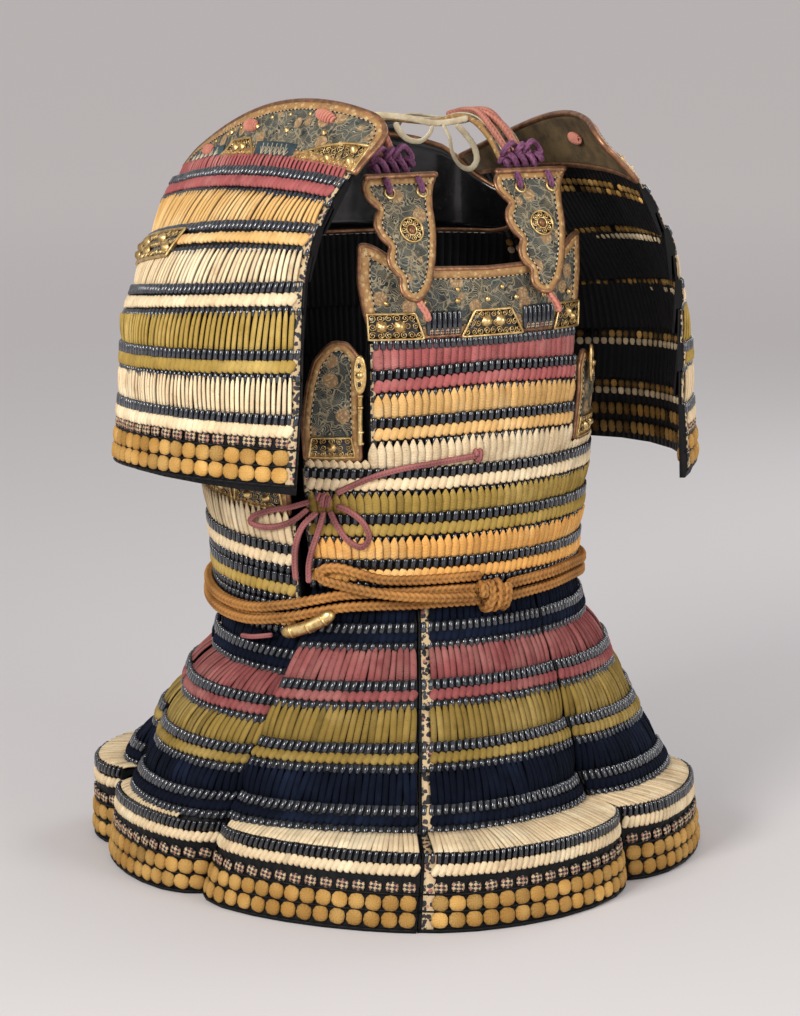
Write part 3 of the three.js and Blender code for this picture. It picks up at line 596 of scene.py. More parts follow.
class Finish(Enum):
    """Each finish with the record's material slot that it belongs to."""

    ROSE = (Silk("rose_silk", (0.325, 0.092, 0.09), (0.42, 0.165, 0.15), (0.15, 0.026, 0.032)),
            "rose_lacing")
    AMBER = (Silk("amber_silk", (0.61, 0.365, 0.135), (0.69, 0.47, 0.225), (0.42, 0.21, 0.06)),
             "amber_lacing")
    ORANGE = (Silk("orange_silk", (0.68, 0.35, 0.1), (0.74, 0.46, 0.18), (0.5, 0.2, 0.05)),
              "amber_lacing")
    WHITE = (Silk("white_silk", (0.66, 0.51, 0.32), (0.75, 0.63, 0.43), (0.36, 0.23, 0.11)),
             "white_lacing")
    OLIVE = (Silk("olive_silk", (0.33, 0.22, 0.055), (0.44, 0.31, 0.1), (0.17, 0.105, 0.022)),
             "olive_lacing")
    NAVY = (Silk("navy_silk", (0.004, 0.0065, 0.016), (0.01, 0.016, 0.038), (0.002, 0.003, 0.007)),
            "navy_lacing")
    LACQUER = (Lacquer("scale_lacquer"), "black_lacquer")
    ROUND_CORE = (ScaleCore("round_scales", Ridges.ROUND), "black_lacquer")
    FLAT_CORE = (ScaleCore("straight_scales", Ridges.STRAIGHT), "black_lacquer")
    LINING = (PlainLacquer("plate_lacquer"), "black_lacquer")
    KNOTS = (KnotSilk("ochre_knots"), "amber_lacing")
    CHECKS = (CheckedSilk("checked_knots"), "white_lacing")
    TRIM = (SpottedTrim("spotted_binding"), "printed_leather")
    LEATHER = (PrintedLeather("printed_leather"), "printed_leather")
    BORDER = (TanLeather("tan_border"), "printed_leather")
    OLD_LEATHER = (SmokedLeather("inner_leather", (0.15, 0.1, 0.045), (0.05, 0.035, 0.02)),
                   "printed_leather")
    TEAL = (SmokedLeather("teal_leather", (0.035, 0.075, 0.09), (0.012, 0.028, 0.036)),
            "printed_leather")
    COPPER = (Metal("copper_rim", (0.33, 0.165, 0.085), (0.17, 0.08, 0.04), 0.34, 0.7), "copper_rim")
    GILT = (Metal("gilt_metal", (0.82, 0.61, 0.29), (0.48, 0.31, 0.12), 0.32), "gilt_metal")
    ROPE = (CordSilk("belt_silk", (0.42, 0.195, 0.055), (0.26, 0.1, 0.025)), "rope")
    BOW = (CordSilk("bow_silk", (0.33, 0.12, 0.115), (0.2, 0.065, 0.07)), "bow_cord")
    SALMON = (CordSilk("salmon_silk", (0.54, 0.22, 0.16), (0.36, 0.11, 0.08)), "bow_cord")
    PURPLE = (CordSilk("purple_silk", (0.2, 0.075, 0.15), (0.1, 0.03, 0.07)), "purple_cord")
    CREAM = (SmokedLeather("cream_leather", (0.6, 0.52, 0.36), (0.36, 0.28, 0.17)),
             "cream_leather")


class Palette:
    """Makes each finish's material once."""

    def __init__(self) -> None:
        """Starts empty."""
        self.made: dict[Finish, bpy.types.Material] = {}

    def of(self, finish: Finish) -> bpy.types.Material:
        """The material of a finish.

        Args:
            finish: the finish.

        Returns:
            Its material, the same one each time.
        """
        if finish not in self.made:
            self.made[finish] = finish.value[0].material()
        return self.made[finish]


PALETTE = Palette()


# ---------------------------------------------------------------- shapes and stamping


@dataclass(eq=False)
class Shape:
    """A mesh as arrays: points in millimetres, face corners, a surface map and tones."""

    points: np.ndarray
    corners: np.ndarray
    sizes: np.ndarray
    uv: np.ndarray
    tone: np.ndarray

    @staticmethod
    def of(mesh: bpy.types.Mesh) -> "Shape":
        """The arrays of a mesh, which is then removed.

        Args:
            mesh: the mesh.

        Returns:
            The shape.
        """
        points = np.zeros(len(mesh.vertices) * 3)
        corners = np.zeros(len(mesh.loops), np.int32)
        sizes = np.zeros(len(mesh.polygons), np.int32)
        uv = np.zeros(len(mesh.loops) * 2)
        mesh.vertices.foreach_get("co", points)
        mesh.loops.foreach_get("vertex_index", corners)
        mesh.polygons.foreach_get("loop_total", sizes)
        if mesh.uv_layers:
            mesh.uv_layers[0].uv.foreach_get("vector", uv)
        bpy.data.meshes.remove(mesh)
        return Shape(points.reshape(-1, 3), corners, sizes, uv.reshape(-1, 2),
                     np.zeros(len(points) // 3))

    @staticmethod
    def of_bmesh(bm: bmesh.types.BMesh, width: float = 1.0, height: float = 1.0) -> "Shape":
        """The arrays of a bmesh, mapped by its x over a width and its z over a height.

        Args:
            bm: the bmesh, which is freed.
            width: what x is divided by.
            height: what z is divided by.

        Returns:
            The shape.
        """
        layer = bm.loops.layers.uv.verify()
        for face in bm.faces:
            for loop in face.loops:
                spot = loop.vert.co
                loop[layer].uv = (spot.x / width + 0.5, spot.z / height + 0.5)
        mesh = bpy.data.meshes.new("shape")
        bm.to_mesh(mesh)
        bm.free()
        return Shape.of(mesh)

    def stamped(self, places: Sequence[Matrix], tones: Sequence[float],
                lengths: Sequence[float]) -> "Shape":
        """Copies of this shape.

        Args:
            places: one matrix for each copy.
            tones: one tone for each copy.
            lengths: what the map's second number is multiplied by on each copy.

        Returns:
            All the copies as one shape.
        """
        frames = np.array([[list(row) for row in place] for place in places])
        moved = np.einsum("kij,nj->kni", frames[:, :3, :3], self.points) + frames[:, None, :3, 3]
        count, size = len(places), len(self.points)
        corners = (self.corners[None, :] + (np.arange(count) * size)[:, None]).ravel()
        uv = np.tile(self.uv, (count, 1, 1))
        uv[:, :, 1] *= np.asarray(lengths, float)[:, None]
        return Shape(moved.reshape(-1, 3), corners.astype(np.int32), np.tile(self.sizes, count),
                     uv.reshape(-1, 2), np.repeat(np.asarray(tones, float), size))

    @staticmethod
    def joined(shapes: Sequence["Shape"]) -> "Shape":
        """Several shapes as one.

        Args:
            shapes: the shapes, in order.

        Returns:
            One shape.
        """
        starts = np.cumsum([0] + [len(shape.points) for shape in shapes[:-1]])
        corners = [shape.corners + start for shape, start in zip(shapes, starts)]
        return Shape(np.concatenate([shape.points for shape in shapes]),
                     np.concatenate(corners).astype(np.int32),
                     np.concatenate([shape.sizes for shape in shapes]),
                     np.concatenate([shape.uv for shape in shapes]),
                     np.concatenate([shape.tone for shape in shapes]))

    def mesh(self, name: str) -> bpy.types.Mesh:
        """A mesh in metres, smooth, with its map and tones.

        Args:
            name: the mesh's name.

        Returns:
            The mesh.
        """
        mesh = bpy.data.meshes.new(name)
        mesh.vertices.add(len(self.points))
        mesh.vertices.foreach_set("co", (self.points * MM).astype(np.float32).ravel())
        mesh.loops.add(len(self.corners))
        mesh.loops.foreach_set("vertex_index", self.corners)
        mesh.polygons.add(len(self.sizes))
        starts = np.concatenate([[0], np.cumsum(self.sizes)[:-1]]).astype(np.int32)
        mesh.polygons.foreach_set("loop_start", starts)
        mesh.polygons.foreach_set("loop_total", self.sizes)
        mesh.update(calc_edges=True)
        layer = mesh.uv_layers.new(name="UVMap")
        layer.uv.foreach_set("vector", self.uv.astype(np.float32).ravel())
        tone = mesh.attributes.new("tone", "FLOAT", "POINT")
        tone.data.foreach_set("value", self.tone.astype(np.float32))
        mesh.polygons.foreach_set("use_smooth", np.ones(len(self.sizes), bool))
        mesh.validate()
        return mesh


def signed_power(value: float, power: float) -> float:
    """A power that keeps the sign."""
    return math.copysign(abs(value) ** power, value)


def pillow(width: float, depth: float, height: float, columns: int = 8, rings: int = 6,
           square: float = 0.8, straight: float = 0.0) -> Shape:
    """A rounded pad or capsule.

    Args:
        width: size along x.
        depth: size along y.
        height: size along z.
        columns: faces round it.
        rings: faces from end to end.
        square: 1 for an ellipsoid, less for squarer corners.
        straight: share of its height that stays at full width.

    Returns:
        The shape about its middle.
    """
    bm = bmesh.new()
    bmesh.ops.create_uvsphere(bm, u_segments=columns, v_segments=rings, radius=1)
    for vert in bm.verts:
        x, y, z = vert.co
        lifted = z * (1 - straight) + math.copysign(straight, z) * (abs(z) > 0.01)
        vert.co = (width / 2 * signed_power(x, square), depth / 2 * signed_power(y, square),
                   height / 2 * signed_power(lifted, square))
    return Shape.of_bmesh(bm, width, height)


def ribbon(thickness: float, bulge: float, top: float, foot: float = 0.9,
           rings: int = 7, taper: float = 0.27) -> Shape:
    """A flat braid one unit wide and one long, bowed out between its ends.

    Args:
        thickness: in millimetres.
        bulge: how far its middle bows out, in millimetres.
        top: its width at the upper end, as a share.
        foot: its width at the lower end, as a share.
        rings: faces along it.
        taper: the share of its length that narrows to the upper end.

    Returns:
        The shape about its middle, bowed towards -y.
    """
    bm = bmesh.new()
    bmesh.ops.create_cone(bm, cap_ends=True, segments=6, radius1=0.5, radius2=0.5, depth=1)
    upright = [edge for edge in bm.edges if abs(edge.verts[0].co.z - edge.verts[1].co.z) > 0.5]
    bmesh.ops.subdivide_edges(bm, edges=upright, cuts=rings - 1)
    for vert in bm.verts:
        x, y, z = vert.co
        share = z + 0.5
        width = top + (1 - top) * min(1.0, (1 - share) / taper) ** 0.75
        width *= foot + (1 - foot) * min(1.0, share / 0.2)
        bow = bulge * math.sin(math.pi * share) ** 0.8
        vert.co = (x * width, y * thickness - bow, z)
    return Shape.of_bmesh(bm)


def rosette(radius: float, height: float, petals: int = 8) -> Shape:
    """A domed flower boss with petals and a round middle, facing -y.

    Args:
        radius: of its rim, in millimetres.
        height: of its dome.
        petals: how many it has.

    Returns:
        The boss.
    """
    bm = bmesh.new()
    bmesh.ops.create_uvsphere(bm, u_segments=petals * 2, v_segments=8, radius=1)
    bmesh.ops.bisect_plane(bm, geom=[*bm.verts, *bm.edges, *bm.faces], plane_co=(0, 0, -0.05),
                           plane_no=(0, 0, 1), clear_inner=True)
    for vert in bm.verts:
        x, y, z = vert.co
        turn, away = math.atan2(y, x), math.hypot(x, y)
        wave = 1 - 0.2 * (0.5 - 0.5 * math.cos(petals * turn)) * min(1.0, away * 1.4)
        middle = 0.45 if away < 0.42 else 0.0
        vert.co = (x * radius * wave, -(z * 0.62 + middle * z) * height, y * radius * wave)
    bmesh.ops.recalc_face_normals(bm, faces=bm.faces)
    return Shape.of_bmesh(bm, 2 * radius, 2 * radius)


def smooth_line(points: Iterable[Sequence[float]], steps: int) -> list[Vector]:
    """A centripetal Catmull-Rom line through points, its ends included.

    Args:
        points: the points that it passes through.
        steps: how many stretches the whole line is cut into.

    Returns:
        The points of the line.
    """
    knots = [Vector(point) for point in points]
    first = knots[0] * 2 - knots[1]
    last = knots[-1] * 2 - knots[-2]
    knots = [first, *knots, last]
    line = []
    for step in range(steps + 1):
        share = step / steps * (len(knots) - 3)
        index = min(int(share), len(knots) - 4)
        share -= index
        a, b, c, d = knots[index:index + 4]
        t0 = max((b - a).length, 1e-6) ** 0.5
        t1 = max((c - b).length, 1e-6) ** 0.5
        t2 = max((d - c).length, 1e-6) ** 0.5
        leave = ((b - a) / t0 - (c - a) / (t0 + t1) + (c - b) / t1) * t1
        reach = ((c - b) / t1 - (d - b) / (t1 + t2) + (d - c) / t2) * t1
        square, cube = share ** 2, share ** 3
        line.append(b * (2 * cube - 3 * square + 1) + c * (3 * square - 2 * cube)
                    + leave * (cube - 2 * square + share) + reach * (cube - square))
    return line


def run_lengths(points: np.ndarray) -> np.ndarray:
    """The length along a line of points, at each of them."""
    return np.concatenate([[0], np.cumsum(np.linalg.norm(np.diff(points, axis=0), axis=1))])


def spaced(line: Sequence[Vector], step: float) -> list[Vector]:
    """The same line with its points about a step apart.

    Args:
        line: the points of the line.
        step: the wanted distance.

    Returns:
        The new points, both ends kept.
    """
    points = np.array([list(point) for point in line])
    along = run_lengths(points)
    at = np.linspace(0, along[-1], max(2, round(along[-1] / step) + 1))
    return [Vector(row) for row in np.stack([np.interp(at, along, points[:, k])
                                             for k in range(3)], axis=1)]


def tube(line: Sequence[Vector], radius: float, sides: int = 2, closed: bool = False,
         flat: float = 0.0) -> Shape:
    """A round tube along a line, made by a curve's bevel.

    Args:
        line: its centre points, in millimetres.
        radius: in millimetres.
        sides: the bevel's resolution; the tube has twice as many sides and four more.
        closed: whether it joins up with itself.
        flat: half the extra width of a flat strap.

    Returns:
        The tube.
    """
    curve = bpy.data.curves.new("tube", "CURVE")
    curve.dimensions = "3D"
    curve.bevel_depth = radius
    curve.bevel_resolution = sides
    curve.extrude = flat
    curve.use_fill_caps = True
    spline = curve.splines.new("POLY")
    spline.points.add(len(line) - 1)
    for point, place in zip(spline.points, line):
        point.co = (*place, 1)
    spline.use_cyclic_u = closed
    carrier = bpy.data.objects.new("tube", curve)
    mesh = bpy.data.meshes.new_from_object(carrier)
    bpy.data.objects.remove(carrier)
    bpy.data.curves.remove(curve)
    bm = bmesh.new()
    bm.from_mesh(mesh)
    bpy.data.meshes.remove(mesh)
    bmesh.ops.remove_doubles(bm, verts=bm.verts, dist=1e-4)
    bmesh.ops.recalc_face_normals(bm, faces=bm.faces)
    return Shape.of_bmesh(bm, 10.0, 1.0)


def hoop(at: Surface, centre: tuple[float, float], half: tuple[float, float], out: float,
         thick: float, count: int = 20) -> Shape:
    """A wire ring that lies on a surface.

    Args:
        at: the surface.
        centre: its middle, across and up.
        half: half its size, across and up.
        out: distance out.
        thick: the wire's radius.
        count: stretches round it, and one more.

    Returns:
        The ring.
    """
    line = [at(centre[0] + half[0] * math.cos(turn), centre[1] + half[1] * math.sin(turn), out)
            for turn in np.linspace(0, FULL_TURN, count)]
    return tube(line[:-1], thick, 2, True)


def swept(line: Sequence[Vector], radii: Callable[[np.ndarray, np.ndarray], tuple], sides: int,
          flat: float = 1.0) -> Shape:
    """A tube whose radius is given at every place round and along it.

    Args:
        line: its centre points, in millimetres.
        radii: gives the radius and the tone from the share round and the length along.
        sides: how many faces go round it.
        flat: its thickness as a share of its width.

    Returns:
        The closed tube.
    """
    points = np.array([list(point) for point in line])
    along = run_lengths(points)
    runs = np.gradient(points, axis=0)
    runs /= np.linalg.norm(runs, axis=1)[:, None]
    normal = np.cross(runs[0], np.cross([*points[0][:2], 0.0], runs[0]))
    if np.linalg.norm(normal) < 1e-6:
        normal = np.cross(runs[0], [0.3, 0.5, 0.8])
    normals = []
    for run in runs:
        normal = normal - run * normal.dot(run)
        normal /= np.linalg.norm(normal)
        normals.append(normal)
    normals = np.array(normals)
    sideways = np.cross(runs, normals)
    round_ = np.arange(sides) / sides
    share, length = np.meshgrid(round_, along)
    radius, tone = radii(share, length)
    cos, sin = np.cos(2 * np.pi * share) * flat, np.sin(2 * np.pi * share)
    rings = (points[:, None] + normals[:, None] * (radius * cos)[..., None]
             + sideways[:, None] * (radius * sin)[..., None])
    count = len(points)
    start = np.arange(count - 1)[:, None] * sides
    here = np.arange(sides)[None, :]
    after = (here + 1) % sides
    quads = np.stack([start + here, start + after, start + sides + after, start + sides + here], -1)
    maps = np.stack([share[:-1], share[:-1] + 1 / sides, share[:-1] + 1 / sides, share[:-1]], -1)
    lengths = np.stack([length[:-1], length[:-1], length[1:], length[1:]], -1)
    caps = np.stack([np.arange(sides)[::-1], (count - 1) * sides + np.arange(sides)])
    corners = np.concatenate([quads.ravel(), caps.ravel()]).astype(np.int32)
    sizes = np.array([4] * (quads.size // 4) + [sides] * 2, np.int32)
    uv = np.concatenate([np.stack([maps.ravel(), lengths.ravel()], 1), np.zeros((caps.size, 2))])
    return Shape(rings.reshape(-1, 3), corners, sizes, uv, tone.ravel())


def plait(line: Sequence[Vector], radius: float, pitch: float, columns: int = 4,
          depth: float = 0.3, flat: float = 1.0) -> Shape:
    """A plaited cord: a tube that stands up in slanted lobes, in V shapes side by side.

    Args:
        line: its centre points.
        radius: over its lobes, in millimetres.
        pitch: from lobe to lobe along it.
        columns: how many columns of lobes go round it.
        depth: of the creases, as a share of the radius.
        flat: its thickness as a share of its width.

    Returns:
        The plait.
    """
    def radii(share: np.ndarray, length: np.ndarray) -> tuple:
        """The lobes' radius, and a tone with painted shade in the creases.

        Args:
            share: the share round, at each place.
            length: the length along, at each place.

        Returns:
            The radius and tone at each place.
        """
        column = np.floor(share * columns + 1e-9)
        x = share * columns - column - 0.5
        slant = np.where(column % 2 == 0, 0.9, -0.9)
        place = length / pitch + slant * x
        lobe = np.floor(place)
        y = place - lobe - 0.5
        rise = np.sqrt(np.clip(1 - (x / 0.6) ** 2 - (y / 0.58) ** 2, 0, 1))
        # Painted shade: the tone drops where the lobes sink into their creases.
        tone = np.sin(lobe * 12.9 + column * 4.1) * 0.5 - (1 - rise) * 2.1
        ends = np.clip(np.minimum(length, length.max() - length) / (radius * 0.8), 0, 1)
        return radius * (1 - depth + depth * rise) * (0.55 + 0.45 * np.sqrt(ends)), tone
    step = min(pitch / 5, radius / 2.4)
    return swept(spaced(line, step), radii, max(10, columns * 4), flat)


def strap_of(line: Sequence[Vector], width: float, flat: float) -> Shape:
    """A flat soft strap along a line, with rounded ends.

    Args:
        line: its centre points.
        width: in millimetres.
        flat: its thickness as a share of its width.

    Returns:
        The strap.
    """
    def radii(share: np.ndarray, length: np.ndarray) -> tuple:
        """A slightly uneven edge, and one tone.

        Args:
            share: the share round, at each place.
            length: the length along, at each place.

        Returns:
            The radius and tone at each place.
        """
        ends = np.clip(np.minimum(length, length.max() - length) / (width * 0.4), 0, 1)
        edge = 1 + 0.12 * np.sin(4 * np.pi * share - 1.57) + 0.04 * np.sin(length * 0.9)
        return width / 2 * edge * (0.4 + 0.6 * np.sqrt(ends)), share * 0
    return swept(spaced(line, 1.6), radii, 16, flat)


def shell(front: np.ndarray, back: np.ndarray) -> Shape:
    """A closed plate between two grids of points.

    Args:
        front: rows by columns by 3, its face.
        back: the same for its back.

    Returns:
        The plate.
    """
    rows, columns = front.shape[:2]
    index = np.arange(rows * columns).reshape(rows, columns)
    other = index + rows * columns

    def quads(a: np.ndarray, b: np.ndarray, c: np.ndarray, d: np.ndarray) -> np.ndarray:
        """Faces between four grids of point numbers."""
        return np.stack([a, b, c, d], -1).reshape(-1, 4)
    faces = np.concatenate([
        quads(index[:-1, :-1], index[:-1, 1:], index[1:, 1:], index[1:, :-1]),
        quads(other[:-1, :-1], other[1:, :-1], other[1:, 1:], other[:-1, 1:]),
        quads(index[0, :-1], other[0, :-1], other[0, 1:], index[0, 1:]),
        quads(index[-1, :-1], index[-1, 1:], other[-1, 1:], other[-1, :-1]),
        quads(index[:-1, 0], index[1:, 0], other[1:, 0], other[:-1, 0]),
        quads(index[:-1, -1], other[:-1, -1], other[1:, -1], index[1:, -1]),
    ])
    points = np.concatenate([front.reshape(-1, 3), back.reshape(-1, 3)])
    a, b, c = (points[faces[:, k]] for k in range(3))
    if np.einsum("ij,ij->i", a - points.mean(0), np.cross(b - a, c - a)).sum() < 0:
        faces = faces[:, ::-1]
    return Shape(points, faces.ravel().astype(np.int32), np.full(len(faces), 4, np.int32),
                 np.zeros((faces.size, 2)), np.zeros(len(points)))


def sheet_between(lines: Sequence[Sequence[Vector]], thickness: float) -> Shape:
    """A thin closed sheet through several lines of equally many points.

    Args:
        lines: the lines, from one side of the sheet to the other.
        thickness: how far it is thickened behind its face, in millimetres.

    Returns:
        The sheet.
    """
    bm = bmesh.new()
    rows = [[bm.verts.new(point) for point in line] for line in lines]
    chains = [[bm.edges.new(pair) for pair in zip(row, row[1:])] for row in rows]
    for low, high in zip(chains, chains[1:]):
        bmesh.ops.bridge_loops(bm, edges=[*low, *high])
    bmesh.ops.recalc_face_normals(bm, faces=bm.faces)
    bmesh.ops.solidify(bm, geom=list(bm.faces), thickness=thickness)
    bmesh.ops.recalc_face_normals(bm, faces=bm.faces)
    return Shape.of_bmesh(bm, 10.0, 10.0)


class Bench:
    """Collects the shapes of one sub-assembly by finish, then makes its objects."""

    def __init__(self, name: str) -> None:
        """Starts an empty bench whose pieces take their names from it."""
        self.name = name
        self.shapes: dict[Finish, list[Shape]] = {}

    def add(self, finish: Finish, shape: Shape) -> None:
        """Adds a shape in a finish."""
        self.shapes.setdefault(finish, []).append(shape)

    def stamp(self, finish: Finish, shape: Shape, places: Sequence[Matrix],
              tones: Sequence[float] | None = None, lengths: Sequence[float] | None = None) -> None:
        """Adds copies of a shape in a finish.

        Args:
            finish: their finish.
            shape: the shape.
            places: one matrix for each copy.
            tones: one tone for each copy, or 0 for all.
            lengths: what the map is stretched by along each copy.
        """
        if not places:
            return
        tones = [0.0] * len(places) if tones is None else tones
        lengths = [1.0] * len(places) if lengths is None else lengths
        self.add(finish, shape.stamped(places, tones, lengths))

    def make(self, replaces: Sequence[str] = (),
             keeps: Finish | None = None) -> list[bpy.types.Object]:
        """Makes one object for each finish.

        Args:
            replaces: CAD nodes that the first object stands for.
            keeps: the finish of the CAD node of the bench's name, where that node still shows.

        Returns:
            The objects.
        """
        made = []
        for finish, shapes in self.shapes.items():
            name = f"{self.name}_{finish.name.lower()}"
            obj = bpy.data.objects.new(name, Shape.joined(shapes).mesh(name))
            bpy.context.scene.collection.objects.link(obj)
            obj.data.materials.append(PALETTE.of(finish))
            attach(obj, BODY)
            made.append(obj)
        if replaces:
            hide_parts(*replaces)
        if keeps:
            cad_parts[self.name].data.materials[0] = PALETTE.of(keeps)
        LOG.info("%s: %d pieces", self.name, len(made))
        return made


# ---------------------------------------------------------------- the carrying surfaces


@dataclass(frozen=True)
class Torso:
    """The body's inner line: half sizes at each height, and how square it is."""

    heights: tuple = (200, 290, 350, 420, 480, 560, 640, 760)
    side: tuple = (181, 177, 183, 189, 191, 191, 188, 180)
    front: tuple = (152, 148, 151, 152, 155, 155, 153, 150)
    back: tuple = (150, 147, 149, 152, 155, 157, 157, 150)
    square: tuple = (2.0, 2.0, 2.05, 2.15, 2.3, 2.3, 2.3, 2.3)

    def point(self, angle: float, z: float, out: float) -> Vector:
        """A point at an angle round, a height, and a distance out from the inner line.

        Args:
            angle: degrees round, from the middle of the chest.
            z: height.
            out: distance out.

        Returns:
            The point.
        """
        columns = (self.side, self.front, self.back, self.square)
        side, front, back, square = (float(np.interp(z, self.heights, c)) for c in columns)
        sin, cos = math.sin(math.radians(angle)), math.cos(math.radians(angle))
        depth = front if cos > 0 else back
        radius = (abs(sin / side) ** square + abs(cos / depth) ** square) ** (-1 / square)
        normal = Vector((
            math.copysign(abs(radius * sin) ** (square - 1) / side ** square, sin),
            -math.copysign(abs(radius * cos) ** (square - 1) / depth ** square, cos),
        )).normalized()
        return Vector((radius * sin + out * normal.x, -radius * cos + out * normal.y, z))

    def line(self, route: Iterable[Point]) -> list[Vector]:
        """Points from (degrees round, height, distance out)."""
        return [self.point(*spot) for spot in route]


@dataclass(frozen=True)
class Sag:
    """How far the wrapped rows have dropped and stand out, by the angle round."""

    start: float = -61
    end: float = 297
    angles: tuple = (-90, 103, 140, 180, 207, 240, 297)
    first: tuple = (0, 0, 10, 20, 34, 63, 78)
    second: tuple = (0, 0, 8, 15, 26, 49, 63)
    third: tuple = (0, 0, 6, 11, 19, 34, 48)
    spread: tuple = (0, 0, 0, 2, 5, 8, 6)

    def at(self, angle: float, column: str) -> float:
        """One column at an angle, on the same turn as the wrapped rows."""
        turn = angle + 360 if angle < self.start - 1 else angle
        return float(np.interp(turn, self.angles, getattr(self, column)))


TORSO = Torso()
SAG = Sag()


class Ribbons(Enum):
    """How lacing hangs: its shape, share of the pitch, looseness, and reach over the row above."""

    LEAF = (ribbon(2.4, 1.1, 0.14, 1.0, 5, 0.36), 1.46, 1.2, 7)
    STRIP = (ribbon(2.8, 1.5, 0.5, 0.95, 5, 0.25), 0.82, 2.2, 3)
    PLEAT = (ribbon(2.4, 2.2, 0.4, 0.97, 4, 0.3), 1.04, 4.0, 2)
    SHELF = (ribbon(2.0, 1.2, 0.8, 0.98, 3), 1.12, 3.0, 0)


@dataclass
class Row:
    """One row of scales: its surface, its ends along that surface, and its lacing."""

    at: Surface
    ends: tuple[float, float]
    band: Callable[[float], float]
    dye: Finish
    ribbons: Ribbons
    depth: float = ROW_DEPTH
    band_top: float = BAND_TOP
    trim: tuple[bool, bool] = (True, True)
    hem: bool = False
    pitch: float = PITCH
    trim_width: float = TRIM_WIDTH
    wide: float = 1.12
    tips: bool = True
    # The row's mean tone is painted light and shade: high on the guards, which face up to the light, low
    # on the skirt, which is in shade.
    tone: float = 1.0

    def frame(self, share: float, down: float, out: float) -> Matrix:
        """Right, inward and up at a place on the row, with the place itself.

        Args:
            share: where along the row.
            down: below the tops of the scales, or above them if negative.
            out: distance out.

        Returns:
            The frame's matrix.
        """
        step = (self.ends[1] - self.ends[0]) * 0.003
        low, high = max(share - step, self.ends[0]), min(share + step, self.ends[1])
        across = self.at(high, down, out) - self.at(low, down, out)
        rise = (0, 1) if down >= 0 else (-1, 0)
        up = self.at(share, down + rise[0], out) - self.at(share, down + rise[1], out)
        place = self.at(share, down, out)
        outward = across.cross(up).normalized()
        if outward.dot(self.at(share, down, out + 1) - place) < 0:
            outward = -outward
        up.normalize()
        right = up.cross(outward).normalized()
        turn = Matrix((right, -outward, right.cross(-outward))).transposed()
        return Matrix.Translation(place) @ turn.to_4x4()

    def places(self, pitch: float, margins: tuple[float, float]) -> tuple[list[float], float]:
        """Where the scales stand along the row.

        Args:
            pitch: the wanted distance from one to the next.
            margins: what is left free at each end.

        Returns:
            Their places, and the pitch that divides the row evenly.
        """
        shares = np.linspace(*self.ends, 200)
        line = np.array([self.at(share, 0, FACE) for share in shares])
        along = run_lengths(line)
        usable = along[-1] - sum(margins)
        count = max(1, round(usable / pitch))
        middles = margins[0] + (np.arange(count) + 0.5) * usable / count
        return [float(v) for v in np.interp(middles, along, shares)], usable / count


